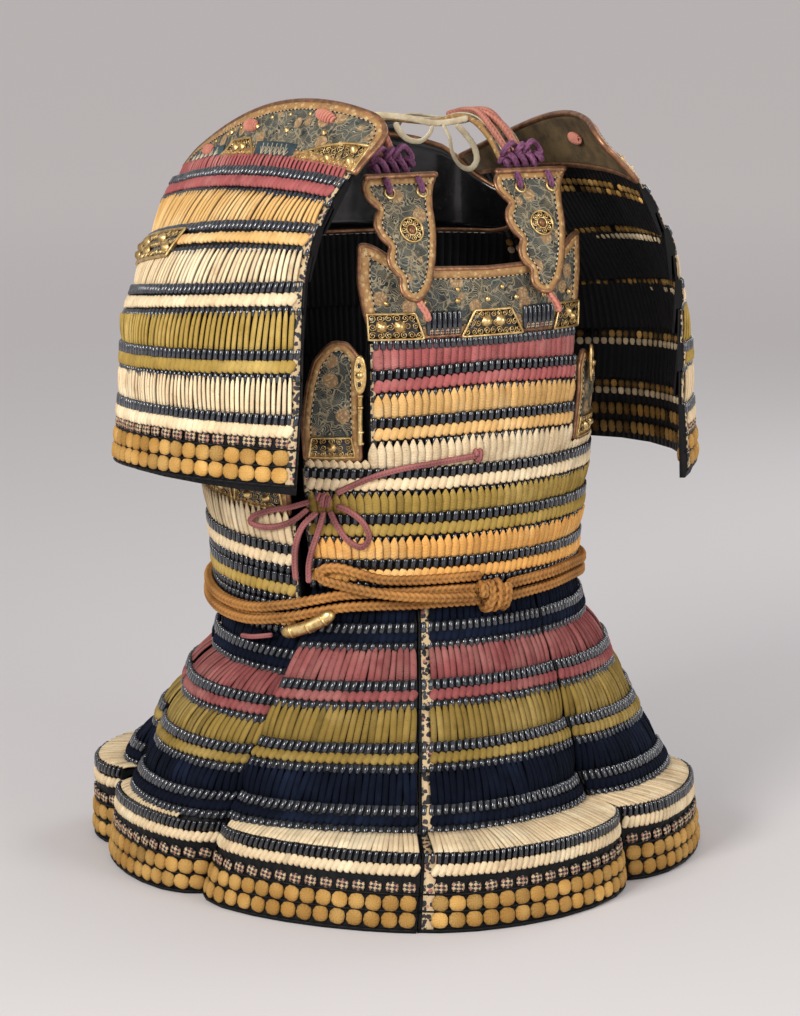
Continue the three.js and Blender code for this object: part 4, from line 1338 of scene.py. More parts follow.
class Lacer:
    """Lays scales' heads, lacing and knots on rows."""

    head = pillow(1, 1, 1, 7, 5, 0.95, 0.5)
    tip = pillow(1, 1, 1, 6, 4, 0.95, 0.3)
    stitch = pillow(1, 1, 1, 7, 4, 0.82)
    knot = pillow(1, 1, 1, 10, 5, 0.84)
    check = pillow(1, 1, 1, 8, 4, 0.7)

    def __init__(self, seed: int) -> None:
        """Starts with its own seeded random numbers."""
        self.random = random.Random(seed)

    def pads(self, bench: Bench, finish: Finish, shape: Shape, row: Row, down: float, out: float,
             size: Point, pitch: float, margins: tuple[float, float], lean: float,
             loose: float = 3.0) -> None:
        """A line of equal pads along a row.

        Args:
            bench: where they go.
            finish: their finish.
            shape: their shape.
            row: the row.
            down: below the tops of the scales.
            out: distance out of their middles.
            size: share of the pitch across, then depth and height in millimetres.
            pitch: from one to the next.
            margins: what is left free at the ends.
            lean: degrees that each leans to the right.
            loose: degrees of chance in its lean.
        """
        shares, step = row.places(pitch, margins)
        places, tones = [], []
        # Silk pads take the row's tone, which is painted light and shade; lacquer heads get a lighter
        # lacquer the farther the row's tone is from zero, on the skirt and the guards.
        worn = abs(row.tone) * 1.5 - 2.3
        middle_tone = worn if finish is Finish.LACQUER else min(row.tone, 1.2)
        scale = Matrix.Diagonal((size[0] * step, size[1], size[2], 1))
        for share in shares:
            turn = math.radians(lean + self.random.gauss(0, loose))
            shift = Matrix.Translation((0, self.random.gauss(0, 0.15), self.random.gauss(0, 0.25)))
            frame_here = row.frame(share, down, out)
            places.append(frame_here @ shift @ Matrix.Rotation(turn, 4, "Y") @ scale)
            tones.append(self.random.gauss(middle_tone, 0.5))
        bench.stamp(finish, shape, places, tones)

    def hang(self, bench: Bench, row: Row, margins: tuple[float, float]) -> None:
        """The ribbons that hang from the row above down to this row's scales.

        Args:
            bench: where the shapes go.
            row: the row.
            margins: what is left free at the ends.
        """
        shape, share_of_pitch, loose, reach = row.ribbons.value
        shares, step = row.places(row.pitch * (0.82 if row.hem else 1), margins)
        places, tones, lengths = [], [], []
        drift = 0.0
        for share in shares:
            band = row.band(share)
            if band < 3:
                continue
            drift = drift * 0.8 + self.random.gauss(0, loose * 0.5)
            foot, top = row.at(share, 0, BAND_FOOT), row.at(share, -band, row.band_top)
            frame_here = row.frame(share, -band / 2, BAND_FOOT)
            right, outward = frame_here.col[0].xyz, -frame_here.col[1].xyz
            lean = math.tan(math.radians(drift + self.random.gauss(0, loose * 0.5)))
            over = min(reach, band * 0.6) * self.random.uniform(0.8, 1.15) if row.tips else 0
            top = top + (top - foot).normalized() * over + outward * over * 0.42
            up = top - foot + right * lean * min(band, 24)
            outward = (outward - up.normalized() * outward.dot(up.normalized())).normalized()
            across = up.cross(outward).normalized()
            if row.ribbons is Ribbons.LEAF:
                tilt = Matrix.Rotation(math.radians(LEAF_LEAN), 3, up)
                across, outward = tilt @ across, tilt @ outward
            width = step * share_of_pitch * self.random.uniform(0.93, 1.07)
            depth = min(1.0, band / 22) * self.random.uniform(0.7, 1.25)
            middle = (foot + top) / 2 + outward * (1.3 + self.random.uniform(-0.3, 0.5))
            turn = Matrix((across * width, -outward * max(depth, 0.6), up * 1.08)).transposed()
            places.append(Matrix.Translation(middle) @ turn.to_4x4())
            # Each ribbon's chance tone lies about its row's painted light and shade.
            tones.append(self.random.gauss(row.tone, 0.7))
            lengths.append(up.length)
        bench.stamp(row.dye, shape, places, tones, lengths)

    def bind(self, bench: Bench, row: Row) -> None:
        """The leather binding down the ends of a row.

        Args:
            bench: where the shapes go.
            row: the row.
        """
        for end, bound in zip((0, 1), row.trim):
            if not bound:
                continue
            shares, _ = row.places(row.trim_width / 2, (0.4, 0.4))
            edge = shares[:3] if end == 0 else shares[-3:]
            band = row.band(edge[0])
            drops = [-band, -band * 0.5, -0.6, 0.2, row.depth * 0.5, row.depth - 6, row.depth]
            outs = [BAND_TOP, BAND_TOP, BAND_FOOT, FACE, FACE, FACE, 7.0]
            if band < 3:
                drops, outs = drops[3:], outs[3:]
            lines = [[row.at(share, down, out + 1.2) for down, out in zip(drops, outs)]
                     for share in edge]
            bench.add(Finish.TRIM, sheet_between(lines, 1.0))

    def dress(self, bench: Bench, row: Row) -> None:
        """Everything that shows on the outside of one row.

        Args:
            bench: where the shapes go.
            row: the row.
        """
        inner = tuple(row.trim_width + 0.5 if bound else 0.8 for bound in row.trim)
        outer = (1.2, 1.2)
        self.bind(bench, row)
        self.hang(bench, row, inner)
        self.pads(bench, Finish.LACQUER, self.head, row, 4.0, FACE + 0.3, (0.8, 5.6, 11.5),
                  row.pitch, outer, 6)
        top = min(row.depth, ROW_DEPTH)
        self.pads(bench, row.dye, self.stitch, row, top * 0.52, FACE + 0.9,
                  (row.wide, 4.6, top * 0.47), row.pitch, inner, 27)
        if not row.hem:
            self.pads(bench, Finish.LACQUER, self.tip, row, row.depth - 3.4, FACE - 0.7,
                      (0.84, 4.8, 10.4), row.pitch, outer, 5)
            return
        self.pads(bench, Finish.CHECKS, self.check, row, row.depth - HEM_CHECKS, FACE + 0.9,
                  (0.86, 3.6, 10.5), KNOT_PITCH, inner, 0)
        for height in HEM_KNOTS:
            self.pads(bench, Finish.KNOTS, self.knot, row, row.depth - height, FACE + 0.9,
                      (1.06, 6.4, 15.6), KNOT_PITCH, inner, 0, 6)
        for height in HEM_RIDGES:
            self.cord_along(bench, row, row.depth - height)

    def cord_along(self, bench: Bench, row: Row, down: float) -> None:
        """A thin lacquered ridge along a row.

        Args:
            bench: where the shapes go.
            row: the row.
            down: below the tops of the scales.
        """
        shares = np.linspace(*row.ends, 60)
        line = [row.at(share, down, FACE + 0.2) for share in shares]
        bench.add(Finish.ROUND_CORE, tube(line, 1.5, 1))

    def lace_backs(self, bench: Bench, row: Row) -> None:
        """The lacing's knots on the inside of a row, just below the tops of its scales.

        Args:
            bench: where the shapes go.
            row: the row.
        """
        second = Finish.KNOTS if row.dye is Finish.ROSE else Finish.WHITE
        lines = [(6, Finish.KNOTS, 8.5), (14, second, 8.0)]
        if row.hem:
            lines += [(34, Finish.KNOTS, 14), (54, Finish.KNOTS, 14)]
        half_turn = Matrix.Rotation(math.pi, 4, "Z")
        for down, finish, height in lines:
            shares, step = row.places(PITCH * 1.3 if height < 10 else KNOT_PITCH * 0.7, (9, 9))
            scale = Matrix.Diagonal((step * 0.84, 3.4, height, 1))
            out = INNER_TOP - INNER_SLOPE * down - 0.5
            places = [row.frame(share, down, out) @ half_turn @ scale for share in shares]
            # Painted shade: the knots inside the guard are set darker than those outside.
            tones = [self.random.gauss(-1.2, 1.0) for _ in shares]
            bench.stamp(finish, self.stitch, places, tones)


# ---------------------------------------------------------------- the body's rows


@dataclass
class BodyRows:
    """The laced rows of the chest, the back, and those that wrap the whole body."""

    opening: float = 41
    chest: tuple = (("front_row_upper", 516, 5, Finish.ROSE), ("front_row_lower", 470, 3, Finish.AMBER))
    back: tuple = (("back_row_1", 596, 66, Finish.ROSE), ("back_row_2", 547, 62, Finish.ROSE),
                   ("back_row_3", 498, 44, Finish.AMBER), ("back_row_4", 449, 40, Finish.AMBER))
    wraps: tuple = (("body_row_1", 421, "first", Finish.WHITE),
                    ("body_row_2", 376, "second", Finish.OLIVE),
                    ("body_row_3", 331, "third", Finish.ORANGE))
    chest_band: float = 26
    back_band: float = 20
    loose_band: float = 27
    short_band: float = 6
    pitch: float = 7.6
    lacer: Lacer = field(default_factory=lambda: Lacer(11))

    def chest_head(self, index: int, angle: float) -> float:
        """Height of the tops of a chest row's scales."""
        _, head, arch, _ = self.chest[index]
        return head + arch * math.cos(math.radians(angle * 90 / self.opening))

    def back_head(self, index: int, angle: float) -> float:
        """Height of the tops of a back row's scales."""
        share = 0.5 * (index + 1) / len(self.back)
        return self.back[index][1] - share * max(0.0, SAG.at(angle, "first") - 20)

    def wrap_head(self, index: int, angle: float) -> float:
        """Height of the tops of a wrapped row's scales."""
        _, head, column, _ = self.wraps[index]
        return head - SAG.at(angle, column)

    def wrap_lacing(self, index: int, angle: float) -> float:
        """Length of the lacing above a wrapped row.

        Args:
            index: which row.
            angle: degrees round.

        Returns:
            The length.
        """
        head = self.wrap_head(index, angle)
        if index > 0:
            above = self.wrap_head(index - 1, angle)
        elif abs(angle) <= self.opening:
            above = self.chest_head(1, angle)
        elif abs(angle - 180) <= self.back[-1][2]:
            above = self.back_head(3, angle)
        else:
            return self.loose_band if angle > 180 else self.short_band
        return above - ROW_DEPTH - SEAM - head

    def chest_lacing(self, index: int, angle: float) -> float:
        """Length of the lacing above a chest row.

        Args:
            index: which row.
            angle: degrees round.

        Returns:
            The length.
        """
        if index == 0:
            return self.chest_band
        return self.chest_head(0, angle) - ROW_DEPTH - SEAM - self.chest_head(1, angle)

    def back_lacing(self, index: int, angle: float) -> float:
        """Length of the lacing above a back row.

        Args:
            index: which row.
            angle: degrees round.

        Returns:
            The length.
        """
        if index == 0:
            return self.back_band
        above = self.back_head(index - 1, angle)
        return above - ROW_DEPTH - SEAM - self.back_head(index, angle)

    def row(self, head: Callable[[float], float], ends: tuple[float, float],
            band: Callable[[float], float], dye: Finish, tips: bool = True) -> Row:
        """A row on the body.

        Args:
            head: the height of its scales' tops at an angle.
            ends: the angles where it ends.
            band: the length of its lacing at an angle.
            dye: the colour of its lacing.
            tips: whether the lacing reaches over the row above.

        Returns:
            The row.
        """
        def at(angle: float, down: float, out: float) -> Vector:
            """The row's surface."""
            return TORSO.point(angle, head(angle) - down, out + SAG.at(angle, "spread"))
        return Row(at, ends, band, dye, Ribbons.LEAF, pitch=self.pitch, trim_width=5, wide=1.32,
                   tips=tips)

    def build(self) -> None:
        """Dresses every row of the body."""
        made: list[tuple[str, Row]] = []
        for index, (name, *_, dye) in enumerate(self.chest):
            head, band = partial(self.chest_head, index), partial(self.chest_lacing, index)
            made.append((name, self.row(head, (-self.opening, self.opening), band, dye, index > 0)))
        for index, (name, _, half, dye) in enumerate(self.back):
            head, band = partial(self.back_head, index), partial(self.back_lacing, index)
            made.append((name, self.row(head, (180 - half, 180 + half), band, dye, index > 0)))
        for index, (name, *_, dye) in enumerate(self.wraps):
            head, band = partial(self.wrap_head, index), partial(self.wrap_lacing, index)
            made.append((name, self.row(head, (SAG.start, SAG.end), band, dye)))
        for name, row in made:
            bench = Bench(name)
            self.lacer.dress(bench, row)
            bench.make(keeps=Finish.ROUND_CORE)


# ---------------------------------------------------------------- the skirt


@dataclass(frozen=True)
class Tier:
    """One row of the skirt: heights and half sizes of its head and foot, sag and lobe shares."""

    head: float
    foot: float
    front: float
    side: float
    foot_front: float
    foot_side: float
    sag: float
    lobe: float
    dye: Finish
    ribbons: Ribbons


@dataclass(frozen=True)
class Lobe:
    """One piece of the skirt: its ends round the waist and hem, and how its hem waves."""

    name: str
    waist: tuple
    hem: tuple
    ends: tuple
    middle: float
    curl: tuple
    lift: float


@dataclass
class Skirt:
    """The eight flared, lobed pieces of the skirt."""

    tiers: tuple = (
        Tier(268, 243, 161, 192, 166, 198, 0.62, 0, Finish.NAVY, Ribbons.PLEAT),
        Tier(216, 190, 179, 224, 188, 234, 0.4, 0.12, Finish.ROSE, Ribbons.PLEAT),
        Tier(160, 134, 200, 256, 211, 268, 0.2, 0.38, Finish.OLIVE, Ribbons.PLEAT),
        Tier(106, 81, 225, 286, 238, 300, 0.05, 0.76, Finish.NAVY, Ribbons.PLEAT),
    )
    lobes: tuple = (
        Lobe("skirt_front", (-25, 25), (-28, 28), (14, -26), 8, (6, 14), 0),
        Lobe("skirt_front_left", (25, 64), (28, 78), (-20, -6), -4, (14, 24), 0),
        Lobe("skirt_left", (64, 105), (78, 119), (-16, -16), -13, (20, 18), 12),
        Lobe("skirt_back_left", (105, 153), (119, 159.5), (-6, -4), 10, (20, 20), 8),
        Lobe("skirt_back", (153, 207), (159.5, 200.5), (0, 0), 6, (16, 16), 4),
        Lobe("skirt_back_right", (207, 254), (200.5, 241), (-2, -4), 22, (20, 16), 12),
        Lobe("skirt_right", (254, 298.5), (241, 282), (-12, -36), -22, (10, 18), 0),
        Lobe("skirt_front_right", (298.5, 335), (282, 332), (-36, 12), -16, (18, 2), 0),
    )
    hem_head: float = 71
    hem_rim: float = 75
    hem_size: tuple = (284, 310, 292, 318)
    knee: tuple = (299, -2.2)
    waist: float = 314
    gap: float = 1.6
    pitch: float = 7.0
    hem_pitch: float = 6.2
    lacer: Lacer = field(default_factory=lambda: Lacer(23))

    def turn(self, lobe: Lobe, across: float, z: float) -> float:
        """The angle round of a place on a piece.

        Args:
            lobe: the piece of the skirt.
            across: from -1 to 1 along it.
            z: height.

        Returns:
            Degrees round.
        """
        share = min(max(z / self.tiers[0].head, 0), 1)
        low = lobe.hem[0] + (lobe.waist[0] - lobe.hem[0]) * share
        high = lobe.hem[1] + (lobe.waist[1] - lobe.hem[1]) * share
        return low + (high - low) * (across + 1) / 2

    def place(self, lobe: Lobe, across: float, z: float, size: tuple[float, float], out: float,
              share: float) -> Vector:
        """A point of a piece.

        Args:
            lobe: the piece.
            across: from -1 to 1 along it.
            z: its height.
            size: half sizes of the whole skirt there, to the front and the side.
            out: distance out.
            share: its share of the hem's wave.

        Returns:
            The point.
        """
        run = lobe.ends[0] + (lobe.ends[1] - lobe.ends[0]) * (across + 1) / 2
        bow = (lobe.middle - sum(lobe.ends) / 2) * (1 - across ** 2)
        wave = run + bow - lobe.curl[0 if across < 0 else 1] * across ** 6
        angle = math.radians(self.turn(lobe, across, z))
        sin, cos = math.sin(angle), math.cos(angle)
        radius = 1 / math.hypot(sin / size[1], cos / size[0]) + wave * share + out
        shift = -self.gap / 2 * math.copysign(across ** 4, across)
        return Vector((radius * sin + shift * cos, -radius * cos + shift * sin, z))

    def drop(self, lobe: Lobe, across: float) -> tuple[float, float]:
        """How far the body's last row has dropped over a place, and stands out there.

        Args:
            lobe: the piece of the skirt.
            across: from -1 to 1 along it.

        Returns:
            The drop and the distance out.
        """
        top = self.turn(lobe, across, self.waist)
        angle = top - 360 if lobe.waist[0] > SAG.end else min(top, SAG.end)
        return SAG.at(angle, "third"), SAG.at(angle, "spread")

    def row(self, lobe: Lobe, index: int) -> Row:
        """A row of a piece; the one after the tiers is the hem.

        Args:
            lobe: the piece of the skirt.
            index: which row, from the waist down.

        Returns:
            The row.
        """
        hem = index == len(self.tiers)
        tier = self.tiers[min(index, len(self.tiers) - 1)]
        above = self.tiers[index - 1] if index else None

        def rise(of: Tier, across: float) -> float:
            """How far a tier is lifted or has dropped at a place."""
            return lobe.lift * of.lobe - self.drop(lobe, across)[0] * of.sag

        def above_foot(across: float, out: float) -> Vector:
            """The foot of the row above, where this row's lacing starts.

            Args:
                across: from -1 to 1 along the piece.
                out: distance out.

            Returns:
                The point.
            """
            if above is None:
                drop, spread = self.drop(lobe, across)
                top = self.turn(lobe, across, self.waist)
                return TORSO.point(top, self.knee[0] - drop, self.knee[1] + spread + out - BAND_FOOT)
            size = (above.foot_front, above.foot_side)
            return self.place(lobe, across, above.foot + rise(above, across), size,
                              out - FACE, above.lobe)

        def at(across: float, down: float, out: float) -> Vector:
            """The row's surface, with its lacing above 0 down.

            Args:
                across: from -1 to 1 along the piece.
                down: below the tops of the scales.
                out: distance out.

            Returns:
                The point.
            """
            if hem:
                share = max(down, 0) / self.hem_rim
                size = tuple(a + (b - a) * share for a, b in
                             zip(self.hem_size[:2], self.hem_size[2:]))
                z = (self.hem_rim + lobe.lift) * (1 - share)
                if down >= 0:
                    return self.place(lobe, across, z, size, out - FACE, 1)
                head = self.place(lobe, across, self.hem_head + lobe.lift, self.hem_size[:2],
                                  out - FACE, 1)
            else:
                share = max(down, 0) / (tier.head - tier.foot)
                size = (tier.front + (tier.foot_front - tier.front) * share,
                        tier.side + (tier.foot_side - tier.side) * share)
                z = tier.head + (tier.foot - tier.head) * share + rise(tier, across)
                head = self.place(lobe, across, z, size, out - FACE, tier.lobe)
                if down >= 0:
                    return head
            return head.lerp(above_foot(across, out), -down / self.band(lobe, index, across))

        depth = self.hem_rim if hem else tier.head - tier.foot
        band = partial(self.band, lobe, index)
        bound = lobe.name not in ("skirt_front_right", "skirt_front_left")
        # Painted shade: the hem's tone sits a little below the body's rows, the tiers' far below.
        if hem:
            return Row(at, (-1, 1), band, Finish.WHITE, Ribbons.SHELF, depth, BAND_FOOT,
                       (bound, False), True, self.hem_pitch, wide=1.3, tone=0.4)
        return Row(at, (-1, 1), band, tier.dye, tier.ribbons, depth, BAND_FOOT, (bound, False),
                   pitch=self.pitch, wide=1.35, tone=-1.9)

    def band(self, lobe: Lobe, index: int, across: float) -> float:
        """Length of the lacing above a row of a piece.

        Args:
            lobe: the piece of the skirt.
            index: which row, from the waist down.
            across: from -1 to 1 along it.

        Returns:
            The length.
        """
        drop = self.drop(lobe, across)[0]
        if index == 0:
            return self.knee[0] - drop - (self.tiers[0].head - drop * self.tiers[0].sag)
        above = self.tiers[index - 1]
        if index == len(self.tiers):
            size = self.place(lobe, across, 0, self.hem_size[:2], 0, 1)
            inner = self.place(lobe, across, 0, (above.foot_front, above.foot_side), 0, above.lobe)
            return (size - inner).length
        tier = self.tiers[index]
        fall = drop * (tier.sag - above.sag) + lobe.lift * (above.lobe - tier.lobe)
        return above.foot - tier.head + fall

    def build(self) -> None:
        """Dresses every row of every piece."""
        for lobe in self.lobes:
            bench = Bench(lobe.name)
            for index in range(len(self.tiers) + 1):
                self.lacer.dress(bench, self.row(lobe, index))
            bench.make(keeps=Finish.ROUND_CORE)


# ---------------------------------------------------------------- the shoulder guards


@dataclass(frozen=True)
class Guard:
    """A shoulder guard's surface: how its sheet leans and bows, and where it hangs."""

    word: str
    side: int
    shift: tuple
    turn: float
    edge_x: float = 212
    edge_z: float = 408
    half_chord: float = 163
    up: tuple = (0, 145, 190, 230, 270, 310, 350, 400)
    lean: tuple = (6, 1, 4, 18, 34, 41, 52, 64)
    bulge: tuple = (86, 84, 60, 33, 20, 22, 42, 66)

    def edge(self, up: float) -> tuple[float, float, float, float]:
        """The leaning edge line at a length up: x, z, lean and bulge.

        Args:
            up: the length up from the foot.

        Returns:
            Its x, z, lean in radians, and bulge.
        """
        steps = 40
        x, z = self.edge_x, self.edge_z
        for step in range(steps):
            lean = math.radians(np.interp((step + 0.5) * up / steps, self.up, self.lean))
            x -= math.sin(lean) * up / steps
            z += math.cos(lean) * up / steps
        lean = math.radians(float(np.interp(up, self.up, self.lean)))
        return x, z, lean, float(np.interp(up, self.up, self.bulge))

    def point(self, across: float, up: float, out: float) -> Vector:
        """A point at a share across from front to back, a length up, and a distance out.

        Args:
            across: from -1 at the front to 1 at the back.
            up: the length up.
            out: distance out.

        Returns:
            The point.
        """
        x, z, lean, bulge = self.edge(up)
        radius = (self.half_chord ** 2 + bulge ** 2) / (2 * bulge)
        half = math.asin(self.half_chord / radius)
        skin = radius + out - FACE
        bow = skin * math.cos(across * half) - radius * math.cos(half)
        place = Vector((self.side * (x + bow * math.cos(lean)), skin * math.sin(across * half),
                        z + bow * math.sin(lean)))
        pivot = Vector((self.side * self.edge_x, 0, 0))
        spun = Matrix.Rotation(math.radians(self.turn), 4, "Z") @ (place - pivot)
        return spun + pivot + Vector(self.shift)


@dataclass
class Guards:
    """Both shoulder guards' laced rows."""

    sides: tuple = (Guard("right", -1, (0, 0, 0), 0), Guard("left", 1, (8, -20, -18), 2))
    rows: tuple = (("row_1", 293, 12, Finish.ROSE), ("row_2", 235, 20, Finish.AMBER),
                   ("row_3", 183, 17, Finish.WHITE), ("row_4", 126, 11, Finish.OLIVE),
                   ("row_5", 69, 6, Finish.WHITE))
    plate_foot: float = 305
    plate_skew: float = 10
    pitch: float = 6.3
    lacer: Lacer = field(default_factory=lambda: Lacer(37))

    def row(self, guard: Guard, index: int) -> Row:
        """One row of a guard.

        Args:
            guard: the guard.
            index: which row, from the top down.

        Returns:
            The row.
        """
        _, head, skew, dye = self.rows[index]

        def at(across: float, down: float, out: float) -> Vector:
            """The row's surface."""
            return guard.point(across, head - skew * across - down, out)

        def band(across: float) -> float:
            """The length of the row's lacing.

            Args:
                across: from -1 to 1.

            Returns:
                The length.
            """
            foot = self.plate_foot - self.plate_skew * across
            if index:
                _, above, above_skew, _ = self.rows[index - 1]
                foot = above - above_skew * across - ROW_DEPTH
            return foot - SEAM - (head - skew * across)

        hem = index == len(self.rows) - 1
        # Painted light: the guards' rows take a high tone, lighter where they face up to the light.
        return Row(at, (-1, 1), band, dye, Ribbons.STRIP, head if hem else ROW_DEPTH, hem=hem,
                   pitch=self.pitch, trim_width=8, wide=1.75, tone=2.1)

    def build(self) -> None:
        """Dresses every row of both guards, outside and inside."""
        for guard in self.sides:
            for index, (word, *_) in enumerate(self.rows):
                name = f"guard_{guard.word}_{word}"
                bench = Bench(name)
                row = self.row(guard, index)
                self.lacer.dress(bench, row)
                self.lacer.lace_backs(bench, row)
                bench.make(keeps=Finish.FLAT_CORE)


# ---------------------------------------------------------------- the belt and the cords


@dataclass(frozen=True)
class Run:
    """A cord: the CAD node it stands for, its route and width, and how it is made and ends."""

    node: str
    finish: Finish
    route: tuple
    diameter: float
    far: str = "object"
    lay: str = "loose"
    on_body: bool = True
    plait: tuple = (3.4, 4, 0.16, 1.0)

    def line(self) -> list[Vector]:
        """The cord's centre line."""
        points = TORSO.line(self.route) if self.on_body else [Vector(spot) for spot in self.route]
        return spaced(smooth_line(points, 24 * len(self.route)), 2.0)

    def make(self, with_pieces: Sequence[bpy.types.Object] = ()) -> bpy.types.Object:
        """Args:
            with_pieces: the pieces that are on the cord; not used.

        Returns:
            The cord's object.
        """
        line = self.line()
        pitch, columns, depth, flat = self.plait
        if flat < 1:
            shape = strap_of(line, self.diameter * 1.12, flat)
        else:
            shape = plait(line, self.diameter / 2 * 1.04, pitch, columns, depth)
        bench = Bench(self.node)
        bench.add(self.finish, shape)
        piece = bench.make([self.node])[0]
        path = [tuple(spot * MM) for spot in line]
        length = sum((b - a).length for a, b in zip(line, line[1:])) * MM
        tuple(path[0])
        return piece


BELT_TURN = (
    (-2.5, 299, 15.3), (-14, 300, 15.3), (-28, 299.5, 15.3), (-41, 299, 15.3), (-50, 297, 16),
    (-58, 292, 20), (-66, 286, 23.4), (-78, 279, 23.6), (-90, 280, 23.6), (-103, 286, 23.6),
    (-120, 291, 23.6), (-140, 295, 22), (-160, 297, 20), (-180, 297, 17.6), (-200, 297, 16.4),
    (-220, 297, 15.6), (-240, 297, 15.3), (-260, 298, 15.3), (-280, 299, 15.3), (-298, 301, 15.3),
    (-315, 304, 15.3), (-330, 302, 15.3), (-350.5, 299, 15.3),
)
BELT_DROP = 12.4
BELT_BIGHT = (
    (-2.5, 311.5, 15.5), (-14, 311.5, 15.5), (-28, 311.5, 15.5), (-38, 313, 15.5), (-45, 319, 15.8),
    (-51, 324, 15.8), (-56, 321, 15.8), (-56, 313, 16.5), (-51, 308.5, 20), (-44, 304, 25),
    (-34, 299, 27), (-22, 295.5, 27), (-12, 294, 27), (-6.5, 293, 26.5),
)
BELT_END = ((-67, 258, 25), (-63, 262, 26), (-58, 269, 28), (-54, 277, 29.5), (-52, 283, 30))
TIE_RUN = ((-4, 430, 12.8), (-12, 428, 12.8), (-22, 425, 12.8), (-32, 421, 13), (-41, 413, 13.2),
           (-46, 406, 13.4), (-51, 398, 14))
TIE_LOOP_RIGHT = (
    (-58.6, 389, 17), (-64, 383, 19.5), (-70, 378, 21), (-75.5, 370, 22.5), (-76.5, 364.5, 22.5),
    (-73, 361, 22), (-67, 364, 20), (-62.5, 372, 17.5), (-59.3, 381.5, 15.2),
)
TIE_LOOP_LEFT = (
    (-50.8, 386, 16), (-47, 380, 15), (-43, 368, 13.5), (-41.5, 354, 13), (-43.5, 345, 13),
    (-47.5, 350, 13.2), (-51, 366, 14), (-52.8, 380.5, 16),
)
TIE_TAIL_1 = ((-56.2, 380, 20), (-60, 366, 25), (-62.5, 345, 24), (-63.2, 324, 23.5),
              (-63, 311, 24))
TIE_TAIL_2 = ((-54.6, 380, 15), (-56.5, 360, 14.5), (-58.8, 340, 14.8), (-59.8, 325, 16.5),
              (-59.4, 309, 22.5))
TIE_LOWER = ((-71.5, 253, 19.5), (-75, 250.5, 20), (-79, 248, 20.5), (-83, 247, 20.5))
STRAP_TIE_SPAN = ((-56.5, -20, 750), (-37, -24, 751), (-10, -29, 748), (19, -33, 742),
                  (38, -36, 743), (56.5, -38, 746))
STRAP_TIE_BOW = ((14, -39.5, 740), (11, -38, 732), (1, -37, 725), (-12, -35, 727),
                 (-21, -34, 735), (-25, -32.5, 744))
STRAP_TIE_LOOP = (
    (26, -39, 741), (33, -40, 728), (37, -40, 711), (46, -41, 699), (56, -42, 696), (63, -43, 703),
    (61, -43, 716), (50, -42, 731), (40, -41.5, 740.5),
)


